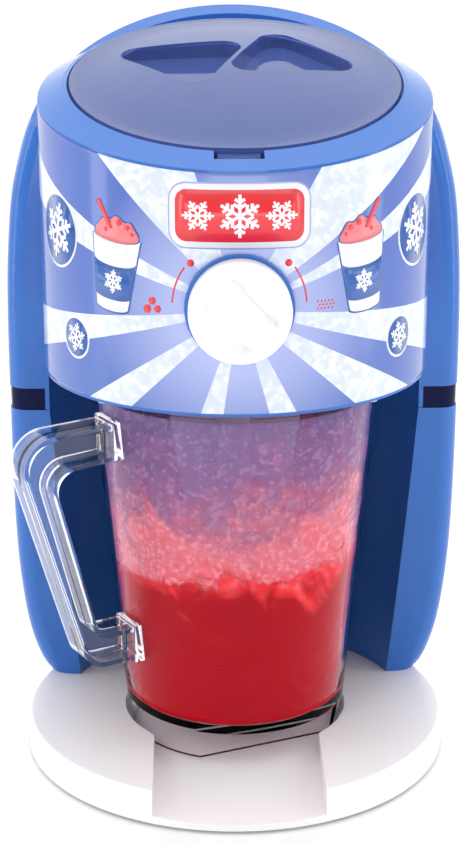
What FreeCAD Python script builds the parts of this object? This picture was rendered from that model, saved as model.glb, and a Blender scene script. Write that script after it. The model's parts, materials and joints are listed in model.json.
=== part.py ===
"""Counter-top slush machine: a white base, a two-part blue tower, an ice shaver head and a clear jug.

Every physical piece is a separate solid in its own STEP file.  Units are millimetres, +Z is up, and
the origin is on the machine's vertical axis at the level of the surface that it stands on.  The front
of the machine faces -Y.
"""
import FreeCAD
import Part
import math
import os

from FreeCAD import Vector

# ---------------------------------------------------------------------------------------------------
# Driving dimensions
# ---------------------------------------------------------------------------------------------------
WALL = 3.0                      # moulded wall of the housings
RUN_GAP = 0.05                  # radial gap of a shaft in its bush
SLIP_GAP = 0.4                  # gap between parts that lift off each other

# Base
BASE_R = 126.0
BASE_Z = 2.0                    # underside of the tray, above the rubber feet
BASE_TOP = 21.5
RECESS_R = 67.0                 # round seat of the jug
RECESS_Z = 12.8
CHANNEL_HALF = 48.6             # finger channel at the front of the seat
CHANNEL_LIP_Z = 6.0
FOOT_R = 7.5
FOOT_PLACES = [(110.0, -35.0), (110.0, -145.0), (110.0, 18.0), (110.0, 162.0)]
TOWER_SCREW_R = 114.0
TOWER_SCREW_ANGLES = [36.0, 72.0, 108.0, 144.0]

# Tower
SEAM_Z = 203.0                  # where the head unit stands on the legs
BAND_TOP = 216.4                # top of the two dark locating blocks
LEG_FRONT_Y = (38.7, 16.0)      # front plane of the legs at BASE_TOP and at SEAM_Z
LINER_R = (104.2, 110.6)        # wall behind the jug at BASE_TOP and at SEAM_Z
LINER_WALL = 2.5
LEG_PROFILE = [(125.0, 21.5), (129.6, 28.0), (133.2, 38.0), (136.2, 52.0), (138.3, 72.0),
               (139.5, 105.0), (139.0, 140.0), (137.7, 175.0), (136.5, 203.0)]
CORNER_R = 11.0                 # rounding between the front plane and the outer wall

# Head
DRUM_Z = 236.5
DRUM_R = 109.2
DRUM_WALL = 2.8
RIM_Z = 390.2                   # drum's slanted top edge on the axis
RIM_SLOPE = 0.229
COWL_Z = 360.0                  # rear cowl's slanted top on the axis
COWL_SLOPE = 0.59
COWL_PROFILE = [(118.5, 0.0), (121.3, 6.0), (124.9, 17.0), (127.8, 28.0), (130.9, 42.0),
                (133.4, 62.0), (135.4, 90.0), (136.4, 130.0), (136.5, 160.0), (136.5, 330.0)]
LABEL_T = 0.4
RING_EDGE = 1.2                 # height of the top ring's outer edge
LABEL_HALF_ANGLE = 97.0
LABEL_BOTTOM = 238.2
COVER_SCREWS = [(-42.0, 230.0), (42.0, 230.0), (-42.0, 312.0), (42.0, 312.0)]   # x and height
VENT_Z = [262.0 + 6.5 * row for row in range(7)]    # lower edges of the air slots
VENT_HEIGHT = 2.6
CORD_Z = 240.0                  # height of the mains cord's bush
CORD_BORE_R = 3.4
RIM_SCREW_R = 102.6             # circle of the screws that close the head
RIM_SCREW_ANGLES = [45.0, 135.0, 225.0, 315.0]

# Lid plane
LID_Z = 398.4
LID_TILT = math.degrees(0.274)
LID_R = 91.9
LID_WALL = 2.5
LID_DOME = 7.0
LID_GAP = 1.4
LID_POCKETS = [((-29.0, 17.0), 0.0), ((31.0, 25.0), 180.0)]     # middle and turn of each finger pocket
POCKET_DEPTH = 11.5
PLUNGER_Y = -92.0               # pin of the safety switch
COLLAR_DROP = 15.2              # the pin's collar below its top
PRESS = 2.2                     # the pin's top lies this far below the plane of the lid's tab

# Knob
KNOB_Z = 295.2
KNOB_X = 0.0
KNOB_R = 26.8
KNOB_RING_R = 28.6
KNOB_BACK_Y = -111.6
KNOB_FRONT_Y = -124.6
CAM_OFFSET = 2.0

# Drive
SHAFT_R = 5.0
GEAR_Z = 250.0
GEAR_T = 9.0
MODULE = 1.5
GEAR_TEETH = 54
PINION_TEETH = 10
CENTRE_DISTANCE = MODULE * (GEAR_TEETH + PINION_TEETH) / 2.0
CHASSIS_Z = 264.0
CHASSIS_T = 3.0
MOTOR_R = 27.0
MOTOR_H = 40.0
HOPPER_R = 84.0
HOPPER_WALL = 2.5
HOPPER_FLOOR = 315.0
ICE_PADDLE_Z = 320.8            # underside of the ice paddle, above the raised blade
CHUTE_HALF = 17.0
MOTOR_HOLES = [(-17.0, 0.0), (17.0, 0.0), (0.0, 17.0)]          # from the motor's axis
POST_PLACES = [(-66.0, 32.0), (-66.0, -32.0), (52.0, 62.0), (52.0, -62.0)]
BLADE_SCREW_X = [38.0, 64.0]

# Jug
JUG_FOOT_Z = 13.2
JUG_BOTTOM = 31.0
JUG_TOP = 230.0
JUG_R = (66.0, 84.0)            # outer radius at JUG_BOTTOM and at JUG_TOP
JUG_WALL = 2.6
JUG_FLAT = 47.0                 # distance of the locating flat from the axis
JUG_FLAT_ANGLE = -67.4
HANDLE_ANGLE = 210.0
HANDLE_WIDTH = 20.0
DRINK_TOP = 130.0
HANDLE_OUTER = [(60.0, 215.0), (147.0, 213.0), (103.5, 69.5), (60.0, 69.5)]     # radius and height
HANDLE_OUTER_R = [0.0, 20.0, 16.0, 0.0]
HANDLE_INNER = [(60.0, 195.0), (123.5, 191.0), (96.5, 90.0), (60.0, 90.0)]
HANDLE_INNER_R = [0.0, 12.0, 8.0, 0.0]
HANDLE_RIB = 3.0



# ---------------------------------------------------------------------------------------------------
# Helpers
# ---------------------------------------------------------------------------------------------------
def cyl(radius, z0, z1, x=0.0, y=0.0):
    """Vertical cylinder from z0 to z1."""
    return Part.makeCylinder(radius, z1 - z0, Vector(x, y, z0))


def tube(outer, inner, z0, z1, x=0.0, y=0.0):
    """Vertical tube."""
    return cyl(outer, z0, z1, x, y).cut(cyl(inner, z0 - 1.0, z1 + 1.0, x, y))


def rod_y(radius, y0, y1, x, z):
    """Cylinder along +Y from y0 to y1."""
    return Part.makeCylinder(radius, y1 - y0, Vector(x, y0, z), Vector(0, 1, 0))


def block(x0, x1, y0, y1, z0, z1):
    """Box between two corners."""
    return Part.makeBox(x1 - x0, y1 - y0, z1 - z0, Vector(x0, y0, z0))


def prism_yz(points, x0, x1):
    """Polygon in the YZ plane extruded along X."""
    outline = [Vector(x0, y, z) for y, z in points]
    face = Part.Face(Part.makePolygon(outline + outline[:1]))
    return face.extrude(Vector(x1 - x0, 0, 0))


def prism_xy(points, z0, z1):
    """Polygon in the XY plane extruded along Z."""
    outline = [Vector(x, y, z0) for x, y in points]
    face = Part.Face(Part.makePolygon(outline + outline[:1]))
    return face.extrude(Vector(0, 0, z1 - z0))


def lathe(points):
    """Solid of revolution about Z from a closed polygon of (radius, height)."""
    outline = [Vector(r, 0, z) for r, z in points]
    face = Part.Face(Part.makePolygon(outline + outline[:1]))
    return face.revolve(Vector(0, 0, 0), Vector(0, 0, 1), 360)


def lathe_smooth(profile, inset=0.0):
    """Solid of revolution whose outer wall is one smooth curve through the profile."""
    points = [Vector(r - inset, 0, z) for r, z in profile]
    curve = Part.BSplineCurve()
    curve.interpolate(points)
    first = points[0]
    last = points[-1]
    edges = [curve.toShape(),
             Part.LineSegment(last, Vector(0, 0, last.z)).toShape(),
             Part.LineSegment(Vector(0, 0, last.z), Vector(0, 0, first.z)).toShape(),
             Part.LineSegment(Vector(0, 0, first.z), first).toShape()]
    face = Part.Face(Part.Wire(Part.__sortEdges__(edges)))
    return face.revolve(Vector(0, 0, 0), Vector(0, 0, 1), 360)


def cone(r0, r1, z0, z1):
    """Truncated cone about Z."""
    return Part.makeCone(r0, r1, z1 - z0, Vector(0, 0, z0))


def polar(radius, angle):
    """Point at a radius and an angle in degrees."""
    return radius * math.cos(math.radians(angle)), radius * math.sin(math.radians(angle))


def turned(shape, angle):
    """Copy of a shape turned about the machine's axis."""
    copy = shape.copy()
    copy.rotate(Vector(0, 0, 0), Vector(0, 0, 1), angle)
    return copy


def fuse(shapes):
    """One solid from several that overlap or touch."""
    result = shapes[0].multiFuse(shapes[1:]) if len(shapes) > 1 else shapes[0]
    return result.removeSplitter()


def cut(shape, tools):
    """Shape with a list of tools removed."""
    return shape.cut(tools) if tools else shape


def group(shapes):
    """Separate identical pieces in one node."""
    return Part.makeCompound(shapes)


def above_plane(height, slope, top=470.0):
    """Everything over the slanted plane z = height + slope * y."""
    reach = 200.0
    return prism_yz([(-reach, height - slope * reach), (reach, height + slope * reach),
                     (reach, top + 200.0), (-reach, top + 200.0)], -reach, reach)


def on_lid(shape):
    """Move a shape from the lid's own level frame to its tilted place."""
    placed = shape.copy()
    placed.rotate(Vector(0, 0, 0), Vector(1, 0, 0), LID_TILT)
    placed.translate(Vector(0, 0, LID_Z))
    return placed


def screw(x, y, z_head, length, head_r=3.6, shank_r=1.7, up=1.0):
    """Pan-head screw; the head is at z_head and the shank points up (up=1) or down (up=-1)."""
    axis = Vector(0, 0, up)
    base = Vector(x, y, z_head)
    head = Part.makeCylinder(head_r, 2.4, base, axis)
    edges = [e for e in head.Edges if abs(e.CenterOfMass.z - z_head) < 0.01 and e.Closed]
    head = head.makeFillet(0.9, edges[:1])
    shank = Part.makeCylinder(shank_r, length, base + axis * 2.3, axis)
    slot = [block(x - 0.5, x + 0.5, y - 2.2, y + 2.2, -1.2 + z_head, 1.2 + z_head),
            block(x - 2.2, x + 2.2, y - 0.5, y + 0.5, -1.2 + z_head, 1.2 + z_head)]
    return fuse([head, shank]).cut(slot)


def line_at(pair, z, z0, z1):
    """Linear value between two heights."""
    return pair[0] + (pair[1] - pair[0]) * (z - z0) / (z1 - z0)


# ---------------------------------------------------------------------------------------------------
# Base
# ---------------------------------------------------------------------------------------------------
def base_tray():
    """White tray with the jug's seat, the front channel and a ribbed hollow underside."""
    disc = cyl(BASE_R, BASE_Z, BASE_TOP)
    rims = [e for e in disc.Edges if e.Closed and abs(e.CenterOfMass.z - BASE_TOP) < 0.01]
    disc = disc.makeFillet(2.6, rims)
    seat = cyl(RECESS_R, RECESS_Z, BASE_TOP + 5)
    channel = prism_yz([(-40, RECESS_Z), (-BASE_R + 3, CHANNEL_LIP_Z), (-BASE_R - 5, CHANNEL_LIP_Z),
                        (-BASE_R - 5, 40), (-40, 40)], -CHANNEL_HALF, CHANNEL_HALF)
    hollow = cyl(BASE_R - WALL, BASE_Z - 1, BASE_TOP - WALL)
    keep = [cyl(RECESS_R + WALL, BASE_Z - 1, BASE_TOP),
            block(-CHANNEL_HALF - WALL, CHANNEL_HALF + WALL, -BASE_R, -40, BASE_Z - 1, BASE_TOP)]
    bosses = []
    holes = []
    for radius, angle in FOOT_PLACES:
        x, y = polar(radius, angle)
        bosses.append(cyl(FOOT_R + 2, BASE_Z - 1, BASE_TOP, x, y))
        holes.append(cyl(2.5, BASE_Z - 1, 9.0, x, y))
    for angle in TOWER_SCREW_ANGLES:
        x, y = polar(TOWER_SCREW_R, angle)
        bosses.append(cyl(5.6, BASE_Z - 1, BASE_TOP, x, y))
        holes.append(cyl(4.4, BASE_Z - 1, 9.0, x, y))
        holes.append(cyl(1.9, BASE_Z - 1, BASE_TOP + 1, x, y))
    ribs = [turned(block(RECESS_R, BASE_R - 1, -1.0, 1.0, BASE_Z - 1, BASE_TOP), a)
            for a in (0, 90, 180, 54, 126, -20, -160)]
    hollow = cut(hollow, keep + bosses + ribs)
    under_seat = cyl(RECESS_R - WALL, BASE_Z - 1, RECESS_Z - WALL)
    return cut(disc, [seat, channel, hollow, under_seat] + holes).removeSplitter()


def rubber_feet():
    """Four round rubber feet with stems pressed into the tray."""
    feet = []
    for radius, angle in FOOT_PLACES:
        x, y = polar(radius, angle)
        pad = cyl(FOOT_R, 0.0, BASE_Z, x, y)
        stem = cyl(2.5, BASE_Z - 0.5, 9.0, x, y)
        feet.append(fuse([pad, stem]))
    return group(feet)


def base_screws():
    """Screws that hold the tower to the tray from below."""
    return group([screw(*polar(TOWER_SCREW_R, a), 6.6, 24.0) for a in TOWER_SCREW_ANGLES])


# ---------------------------------------------------------------------------------------------------
# Lower tower: the legs
# ---------------------------------------------------------------------------------------------------
def behind_legs_front(inset):
    """Everything behind the slanted front plane of the legs."""
    y0 = LEG_FRONT_Y[0] + inset
    y1 = LEG_FRONT_Y[1] + inset
    rate = (y1 - y0) / (SEAM_Z - BASE_TOP)
    low = 10.0
    high = 215.0
    return prism_yz([(y0 + rate * (low - BASE_TOP), low), (200, low), (200, high),
                     (y0 + rate * (high - BASE_TOP), high)], -200, 200)


def round_front_corners(shape, radius, front_y):
    """Round the two tall edges between the front plane and the outer wall."""
    edges = []
    for edge in shape.Edges:
        centre = edge.CenterOfMass
        box = edge.BoundBox
        if abs(centre.x) > 112 and box.ZLength > 60 and abs(centre.y - front_y(centre.z)) < 3.0:
            edges.append(edge)
    return shape.makeFillet(radius, edges)


def legs_front_y(inset):
    """Front plane's Y at a height, as a function."""
    def value(z):
        return line_at(LEG_FRONT_Y, z, BASE_TOP, SEAM_Z) + inset
    return value


def legs_solid(inset, inner_grow, z0, z1, radius):
    """C-shaped solid of the legs, drawn in by an inset."""
    body = lathe_smooth(LEG_PROFILE, inset).common(behind_legs_front(inset))
    body = round_front_corners(body, radius, legs_front_y(inset))
    body = body.common(cyl(200, z0, z1))
    grow = (LINER_R[1] - LINER_R[0]) / (SEAM_Z - BASE_TOP)
    return body.cut(cone(LINER_R[0] + inner_grow - grow * 20, LINER_R[1] + inner_grow + grow * 20,
                         BASE_TOP - 20, SEAM_Z + 20))


def liner_band(z0, z1, front):
    """Thin wall behind the jug."""
    grow = (LINER_R[1] - LINER_R[0]) / (SEAM_Z - BASE_TOP)
    outer = cone(LINER_R[0] + LINER_WALL - grow * 20, LINER_R[1] + LINER_WALL + grow * 20,
                 BASE_TOP - 20, SEAM_Z + 20)
    inner = cone(LINER_R[0] - grow * 20, LINER_R[1] + grow * 20, BASE_TOP - 20, SEAM_Z + 20)
    return outer.cut(inner).common(cyl(200, z0, z1)).common(front)


def spigot_box(side, gap):
    """Tongue of a locating block, or its socket when the gap is positive."""
    x0 = 113.6 - gap
    x1 = 124.0 + gap
    outline = (x0, x1) if side > 0 else (-x1, -x0)
    return block(outline[0], outline[1], 27.0 - gap, 43.0 + gap, SEAM_Z - 15.0 - gap, SEAM_Z + 8.0)


def lower_tower():
    """The blue legs, and the wall behind the jug."""
    full = legs_solid(0.0, 0.0, BASE_TOP, SEAM_Z, CORNER_R)
    hollow = legs_solid(WALL, LINER_WALL, BASE_TOP + WALL, SEAM_Z - WALL, CORNER_R - WALL + 0.5)
    liner = liner_band(BASE_TOP + WALL, SEAM_Z - WALL, behind_legs_front(WALL))
    bosses = []
    holes = []
    for angle in TOWER_SCREW_ANGLES:
        x, y = polar(TOWER_SCREW_R, angle)
        bosses.append(cyl(4.0, BASE_TOP, BASE_TOP + 14, x, y))
        holes.append(cyl(1.7, BASE_TOP - 1, BASE_TOP + 11.5, x, y))
    sockets = [spigot_box(side, SLIP_GAP) for side in (-1, 1)]
    skin = fuse([full.cut([hollow, liner])] + bosses).cut(holes + sockets)
    return skin, liner


# ---------------------------------------------------------------------------------------------------
# Head: shells
# ---------------------------------------------------------------------------------------------------
def cowl_body(inset):
    """Outer form of the rear cowl; its width depends on the depth under its slanted top."""
    profile = [(r, -d - inset) for r, d in reversed(COWL_PROFILE)]
    body = lathe_smooth(profile, inset)
    shear = FreeCAD.Matrix()
    shear.A32 = COWL_SLOPE
    shear.A34 = COWL_Z
    return body.transformGeometry(shear)


def cowl_solid(inset, z0, z1, radius):
    """C-shaped solid of the upper housing, drawn in by an inset."""
    front = LEG_FRONT_Y[1] + inset
    body = cowl_body(inset).common(block(-200, 200, front, 200, z0 - 6, 470))

    def front_y(z):
        return front
    body = round_front_corners(body, radius, front_y)
    return body.common(cyl(200, z0, z1))


def locating_block(side):
    """Dark block between head and leg, with a tongue that drops into the leg."""
    zone = block(60, 200, 0, 46, SEAM_Z + 0.3, BAND_TOP)
    if side < 0:
        zone = zone.mirror(Vector(0, 0, 0), Vector(1, 0, 0))
    body = cowl_solid(0.5, SEAM_Z + 0.3, BAND_TOP, CORNER_R).common(zone)
    body = body.cut(cyl(LINER_R[1] + LINER_WALL, 190, 230))
    return fuse([body, spigot_box(side, 0.0)])


def upper_housing():
    """Blue rear cowl that wraps the drum and ends in the two front wings."""
    full = cowl_solid(0.0, SEAM_Z + 0.3, 470, CORNER_R)
    hollow = cowl_solid(WALL, SEAM_Z - 5, 470, CORNER_R - WALL + 0.5)
    hollow = hollow.cut(cyl(LINER_R[1] + LINER_WALL, SEAM_Z - 10, 480))
    shell = full.cut([hollow, cyl(LINER_R[1], SEAM_Z - 5, 480)])
    zone = [block(60, 200, 0, 46, SEAM_Z - 1, BAND_TOP), block(-200, -60, 0, 46, SEAM_Z - 1, BAND_TOP)]
    zone = [z.cut(cyl(LINER_R[1] + LINER_WALL, 190, 230)) for z in zone]
    window = block(-46, 46, 100, 150, 226, 316)
    frame = cowl_solid(WALL, SEAM_Z, 470, CORNER_R - WALL + 0.5)
    frame = frame.cut(cowl_solid(WALL + 2.5, SEAM_Z - 1, 470, CORNER_R - WALL))
    frame = frame.common(block(-52, 52, 100, 150, 220, 322)).cut(block(-38, 38, 90, 150, 234, 308))
    shell = shell.cut(zone + [window])
    screw_holes = [rod_y(1.6, 90, 160, x, z) for x, z in COVER_SCREWS]
    return fuse([shell, frame]).cut(screw_holes)


def cover_outer(x):
    """Outer face of the rear cover at a distance from its middle."""
    return math.sqrt((COWL_PROFILE[-1][0] - 0.4) ** 2 - x ** 2)


def rear_cover():
    """Louvred cover over the opening at the back."""
    panel = cowl_solid(0.4, SEAM_Z, 470, CORNER_R).cut(cowl_solid(WALL, SEAM_Z - 1, 470, CORNER_R - 2.5))
    panel = panel.common(block(-45.6, 45.6, 100, 150, 226.4, 315.6))
    slots = []
    for z in VENT_Z:
        slots.append(block(-28, 28, 90, 160, z, z + VENT_HEIGHT))
    gland_hole = rod_y(5.0, 90, 160, 0, CORD_Z)
    screw_holes = [rod_y(1.9, 90, 160, x, z) for x, z in COVER_SCREWS]
    seats = [rod_y(3.7, cover_outer(x) - 1.0, 160, x, z) for x, z in COVER_SCREWS]
    return panel.cut(slots + [gland_hole] + screw_holes + seats)


def rear_cover_screws():
    """Four screws of the rear cover."""
    pieces = []
    for x, z in COVER_SCREWS:
        outer = cover_outer(x)
        head = rod_y(3.4, outer - 1.0, outer + 1.0, x, z)
        shank = rod_y(1.6, outer - 9.0, outer - 0.9, x, z)
        cross = [block(x - 2, x + 2, outer + 0.2, outer + 3, z - 0.4, z + 0.4),
                 block(x - 0.4, x + 0.4, outer + 0.2, outer + 3, z - 2, z + 2)]
        pieces.append(fuse([head, shank]).cut(cross))
    return group(pieces)


def cord_gland():
    """Rubber bush in the rear cover where the mains cord enters."""
    flange = rod_y(7.5, 136.6, 139.6, 0, CORD_Z)
    neck = rod_y(4.9, 128.5, 137.0, 0, CORD_Z)
    lip = rod_y(6.4, 127.5, 130.5, 0, CORD_Z)
    bore = rod_y(CORD_BORE_R, 120, 145, 0, CORD_Z)
    return fuse([flange, neck, lip]).cut(bore)


def drum_housing():
    """Blue drum with a slanted top edge, screw bosses and the knob's opening."""
    shell = tube(DRUM_R, DRUM_R - DRUM_WALL, DRUM_Z, 440).cut(above_plane(RIM_Z, RIM_SLOPE))
    bosses = []
    holes = []
    for angle in RIM_SCREW_ANGLES:
        x, y = polar(RIM_SCREW_R, angle)
        bosses.append(cyl(4.5, DRUM_Z + 3.0, DRUM_Z + 18, x, y))
        holes.append(cyl(1.6, DRUM_Z, DRUM_Z + 16, x, y))
    knob_hole = rod_y(KNOB_RING_R - 2.0, -130, -60, KNOB_X, KNOB_Z)
    boss = rod_y(KNOB_RING_R, -109.5, -102.0, KNOB_X, KNOB_Z)
    boss = boss.cut(cyl(DRUM_R - DRUM_WALL, 240, 350))
    vents = [block(-30, 30, 90, 120, z, z + VENT_HEIGHT) for z in VENT_Z]
    cord_way = rod_y(6.0, 90, 120, 0, CORD_Z + 8.0)
    return fuse([shell, boss] + bosses).cut(holes + [knob_hole, cord_way] + vents)


def label_film():
    """Printed film wrapped round the front of the drum."""
    film = tube(DRUM_R + LABEL_T, DRUM_R, LABEL_BOTTOM, 440).cut(above_plane(RIM_Z - 0.3, RIM_SLOPE))
    knob_hole = rod_y(KNOB_RING_R, -130, -60, KNOB_X, KNOB_Z)
    reach = 160.0
    points = [(0, 0)]
    steps = 12
    for index in range(steps + 1):
        angle = -90.0 + LABEL_HALF_ANGLE + (360.0 - 2 * LABEL_HALF_ANGLE) * index / steps
        points.append(polar(reach, angle))
    behind = prism_xy(points, 200, 470)
    return film.cut([knob_hole, behind])


def tilted_cone(inner_r, outer_r, drop, thickness):
    """Bevelled ring between the drum's slanted edge and the circle round the lid."""
    def drum_edge(offset):
        points = []
        for index in range(48):
            angle = math.radians(7.5 * index)
            x = outer_r * math.cos(angle)
            y = outer_r * math.sin(angle)
            points.append(Vector(x, y, RIM_Z + RIM_SLOPE * y + offset))
        curve = Part.BSplineCurve()
        curve.interpolate(points, PeriodicFlag=True)
        return Part.Wire([curve.toShape()])

    def lid_edge(offset):
        points = []
        for index in range(48):
            angle = 7.5 * index
            x, y = polar(inner_r, angle)
            place = on_lid(Part.Vertex(x, y, offset)).Point
            points.append(place)
        curve = Part.BSplineCurve()
        curve.interpolate(points, PeriodicFlag=True)
        return Part.Wire([curve.toShape()])

    top = Part.makeLoft([drum_edge(RING_EDGE), lid_edge(drop)], False, True)
    bottom = Part.makeLoft([drum_edge(0.0), lid_edge(drop - thickness)], False, True)
    side = Part.makeLoft([drum_edge(0.0), drum_edge(RING_EDGE)], False, True)
    bore = Part.makeLoft([lid_edge(drop - thickness), lid_edge(drop)], False, True)
    shell = Part.makeShell(top.Faces + bottom.Faces + side.Faces + bore.Faces)
    shell.sewShape()
    solid = Part.Solid(shell)
    if solid.Volume < 0:
        solid.reverse()
    return solid


def top_ring():
    """Glossy bevelled ring round the lid, with a seat and a notch for the lid's tab."""
    ring_in = LID_R + LID_GAP
    bevel = tilted_cone(ring_in + 0.1, DRUM_R + 0.2, 0.0, 3.0)
    skirt = on_lid(Part.makeCylinder(ring_in + 2.4, 11.0, Vector(0, 0, -11.8)))
    bore = on_lid(Part.makeCylinder(ring_in, 60.0, Vector(0, 0, -30)))
    notch = on_lid(block(-13.0, 13.0, -101.5, -80.0, -14.0, 30.0))
    return fuse([bevel, skirt]).cut([bore, notch])


def lid_pocket(centre, turn, grow):
    """Rounded three-cornered finger pocket in the lid's own frame."""
    radius = 11.0 + grow
    corners = [(-24.0, 12.0), (22.0, 17.0), (6.0, -23.0)]
    discs = [Part.makeCylinder(radius, 20.0, Vector(x, y, -10.0)) for x, y in corners]
    hull = []
    for (x0, y0), (x1, y1) in zip(corners, corners[1:] + corners[:1]):
        length = math.hypot(x1 - x0, y1 - y0)
        nx = (y1 - y0) / length * radius
        ny = -(x1 - x0) / length * radius
        bar = Part.Face(Part.makePolygon([Vector(x0 + nx, y0 + ny, -10.0), Vector(x1 + nx, y1 + ny, -10.0),
                                          Vector(x1 - nx, y1 - ny, -10.0), Vector(x0 - nx, y0 - ny, -10.0),
                                          Vector(x0 + nx, y0 + ny, -10.0)]))
        hull.append(bar.extrude(Vector(0, 0, 20)))
    middle = Part.Face(Part.makePolygon([Vector(x, y, -10.0) for x, y in corners + corners[:1]]))
    shape = fuse(discs + hull + [middle.extrude(Vector(0, 0, 20))])
    shape.rotate(Vector(0, 0, 0), Vector(0, 0, 1), turn)
    shape.translate(Vector(centre[0], centre[1], 0))
    return shape


def lid():
    """Smoky domed lid with two finger pockets, a vent hole, a skirt and a switch tab."""
    sphere_r = (LID_R ** 2 + LID_DOME ** 2) / (2 * LID_DOME)
    ball = Part.makeSphere(sphere_r, Vector(0, 0, LID_DOME - sphere_r))
    inner_ball = Part.makeSphere(sphere_r - LID_WALL, Vector(0, 0, LID_DOME - sphere_r))
    puck = Part.makeCylinder(LID_R, LID_DOME + 4.0, Vector(0, 0, -2.0))
    dome = puck.common(ball)
    under = Part.makeCylinder(LID_R - 2.4, 40.0, Vector(0, 0, -30.0)).common(inner_ball)
    skirt = Part.makeCylinder(LID_R, 7.0, Vector(0, 0, -6.0))
    body = fuse([dome, skirt]).cut(under)
    for centre, turn in LID_POCKETS:
        floor = LID_DOME - POCKET_DEPTH
        cup = lid_pocket(centre, turn, 2.2).common(Part.makeCylinder(LID_R, 30, Vector(0, 0, floor - 2.2)))
        cup = cup.common(ball)
        space = lid_pocket(centre, turn, 0.0).common(Part.makeCylinder(LID_R, 30, Vector(0, 0, floor)))
        body = fuse([body, cup]).cut(space)
    vent = Part.makeCylinder(2.2, 30, Vector(0, 38.0, -8))
    tab = block(-11.0, 11.0, -97.6, -91.0, -6.0, -2.2)
    body = fuse([body.cut(vent), tab])
    return on_lid(body)


def lid_seal():
    """Soft ring under the lid's skirt."""
    ring = Part.makeCylinder(LID_R - 2.6, 2.2, Vector(0, 0, -5.6))
    ring = ring.cut(Part.makeCylinder(LID_R - 4.6, 10, Vector(0, 0, -9)))
    return on_lid(ring)


# ---------------------------------------------------------------------------------------------------
# Head: hopper, shaver and drive
# ---------------------------------------------------------------------------------------------------
def hopper():
    """Ice chamber with a slanted flange, a slot for the blade and a hub for the bush."""
    outer = cyl(HOPPER_R, HOPPER_FLOOR, 470)
    inner = cyl(HOPPER_R - HOPPER_WALL, HOPPER_FLOOR + 3, 480)
    over = on_lid(block(-150, 150, -150, 150, -14.2, 200))
    flange = on_lid(Part.makeCylinder(200, 2.6, Vector(0, 0, -16.8))).common(cyl(DRUM_R - DRUM_WALL - 0.4, 300, 470))
    bowl = fuse([outer.cut(over), flange]).cut(inner)
    slot = block(28, 74, -6.0, 8.5, HOPPER_FLOOR - 2, HOPPER_FLOOR + 5)
    plunger_hole = cyl(3.8, 330, 400, 0, PLUNGER_Y)
    bush_hole = cyl(9.0, HOPPER_FLOOR - 2, HOPPER_FLOOR + 5)
    return bowl.cut([slot, plunger_hole, bush_hole])


def upper_bush():
    """Bush of the main shaft in the hopper's floor."""
    body = fuse([cyl(9.0, HOPPER_FLOOR - 4, HOPPER_FLOOR + 3), cyl(11.5, HOPPER_FLOOR - 4, HOPPER_FLOOR)])
    return body.cut(cyl(SHAFT_R + RUN_GAP, 290, 340))


def ice_paddle():
    """Three-armed pusher that sweeps the ice over the blade."""
    hub_z = ICE_PADDLE_Z
    parts = [cyl(13.0, hub_z, hub_z + 26), cone(13.0, 7.0, hub_z + 26, hub_z + 34)]
    for angle in (30, 150, 270):
        arm = prism_xy([(8, -2.2), (76, -7.0), (78, -3.2), (8, 2.2)], hub_z, hub_z + 16)
        parts.append(turned(arm, angle))
    body = fuse(parts)
    return body.cut(hex_bar(SHAFT_R, hub_z - 1, hub_z + 22))


def hex_bar(across, z0, z1):
    """Hexagonal bar about the axis, by its corner radius."""
    return prism_xy([polar(across, 60 * i) for i in range(6)], z0, z1)


def main_shaft():
    """Steel shaft from the mixing paddle up to the ice paddle, with hexagonal ends."""
    top = ICE_PADDLE_Z
    shaft = fuse([cyl(SHAFT_R, DRUM_Z - 1.5, top - 0.5),
                  hex_bar(SHAFT_R, top - 0.5, top + 22),
                  hex_bar(SHAFT_R, DRUM_Z - 21, DRUM_Z - 1.5)])
    return shaft.cut(gear_pin())


def involute_gear(teeth, z0, z1, backlash, addendum, dedendum, phase):
    """Spur gear with involute flanks."""
    pitch = MODULE * teeth / 2.0
    base = pitch * math.cos(math.radians(20))
    tip = pitch + addendum * MODULE
    root = pitch - dedendum * MODULE
    involute = math.tan(math.radians(20)) - math.radians(20)
    half = (math.pi * MODULE / 2.0 - backlash) / (2.0 * pitch) + involute
    start = max(base, root)
    flank = []
    for index in range(5):
        radius = start + (tip - start) * index / 4.0
        alpha = math.acos(min(1.0, base / radius))
        flank.append((radius, half - (math.tan(alpha) - alpha)))
    points = []
    for tooth in range(teeth):
        centre = 2 * math.pi * tooth / teeth + phase
        gap = math.pi / teeth
        points.append((root, centre - gap))
        points.append((root, centre - flank[0][1]))
        points.extend((r, centre - a) for r, a in flank[1:] if r > root + 0.01)
        points.extend((r, centre + a) for r, a in reversed(flank[1:]) if r > root + 0.01)
        points.append((root, centre + flank[0][1]))
    return prism_xy([(r * math.cos(a), r * math.sin(a)) for r, a in points], z0, z1)


def drive_gear():
    """Large gear on the main shaft, with a hub and four lightening holes."""
    gear = involute_gear(GEAR_TEETH, GEAR_Z, GEAR_Z + GEAR_T, 0.25, 0.85, 1.15, math.pi / 2)
    hub = cyl(11.0, GEAR_Z - 2.5, GEAR_Z + GEAR_T + 3)
    holes = [cyl(7.5, GEAR_Z - 5, GEAR_Z + 20, *polar(24.0, a)) for a in (45, 135, 225, 315)]
    pin = Part.makeCylinder(1.5, 60, Vector(-30, 0, GEAR_Z + GEAR_T + 1.4), Vector(1, 0, 0))
    return fuse([gear, hub]).cut(holes + [cyl(SHAFT_R, 230, 300), pin])


def gear_pin():
    """Cross pin that locks the gear to the shaft."""
    z = GEAR_Z + GEAR_T + 1.4
    rod = Part.makeCylinder(1.5, 21.6, Vector(-10.8, 0, z), Vector(1, 0, 0))
    return rod


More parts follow.
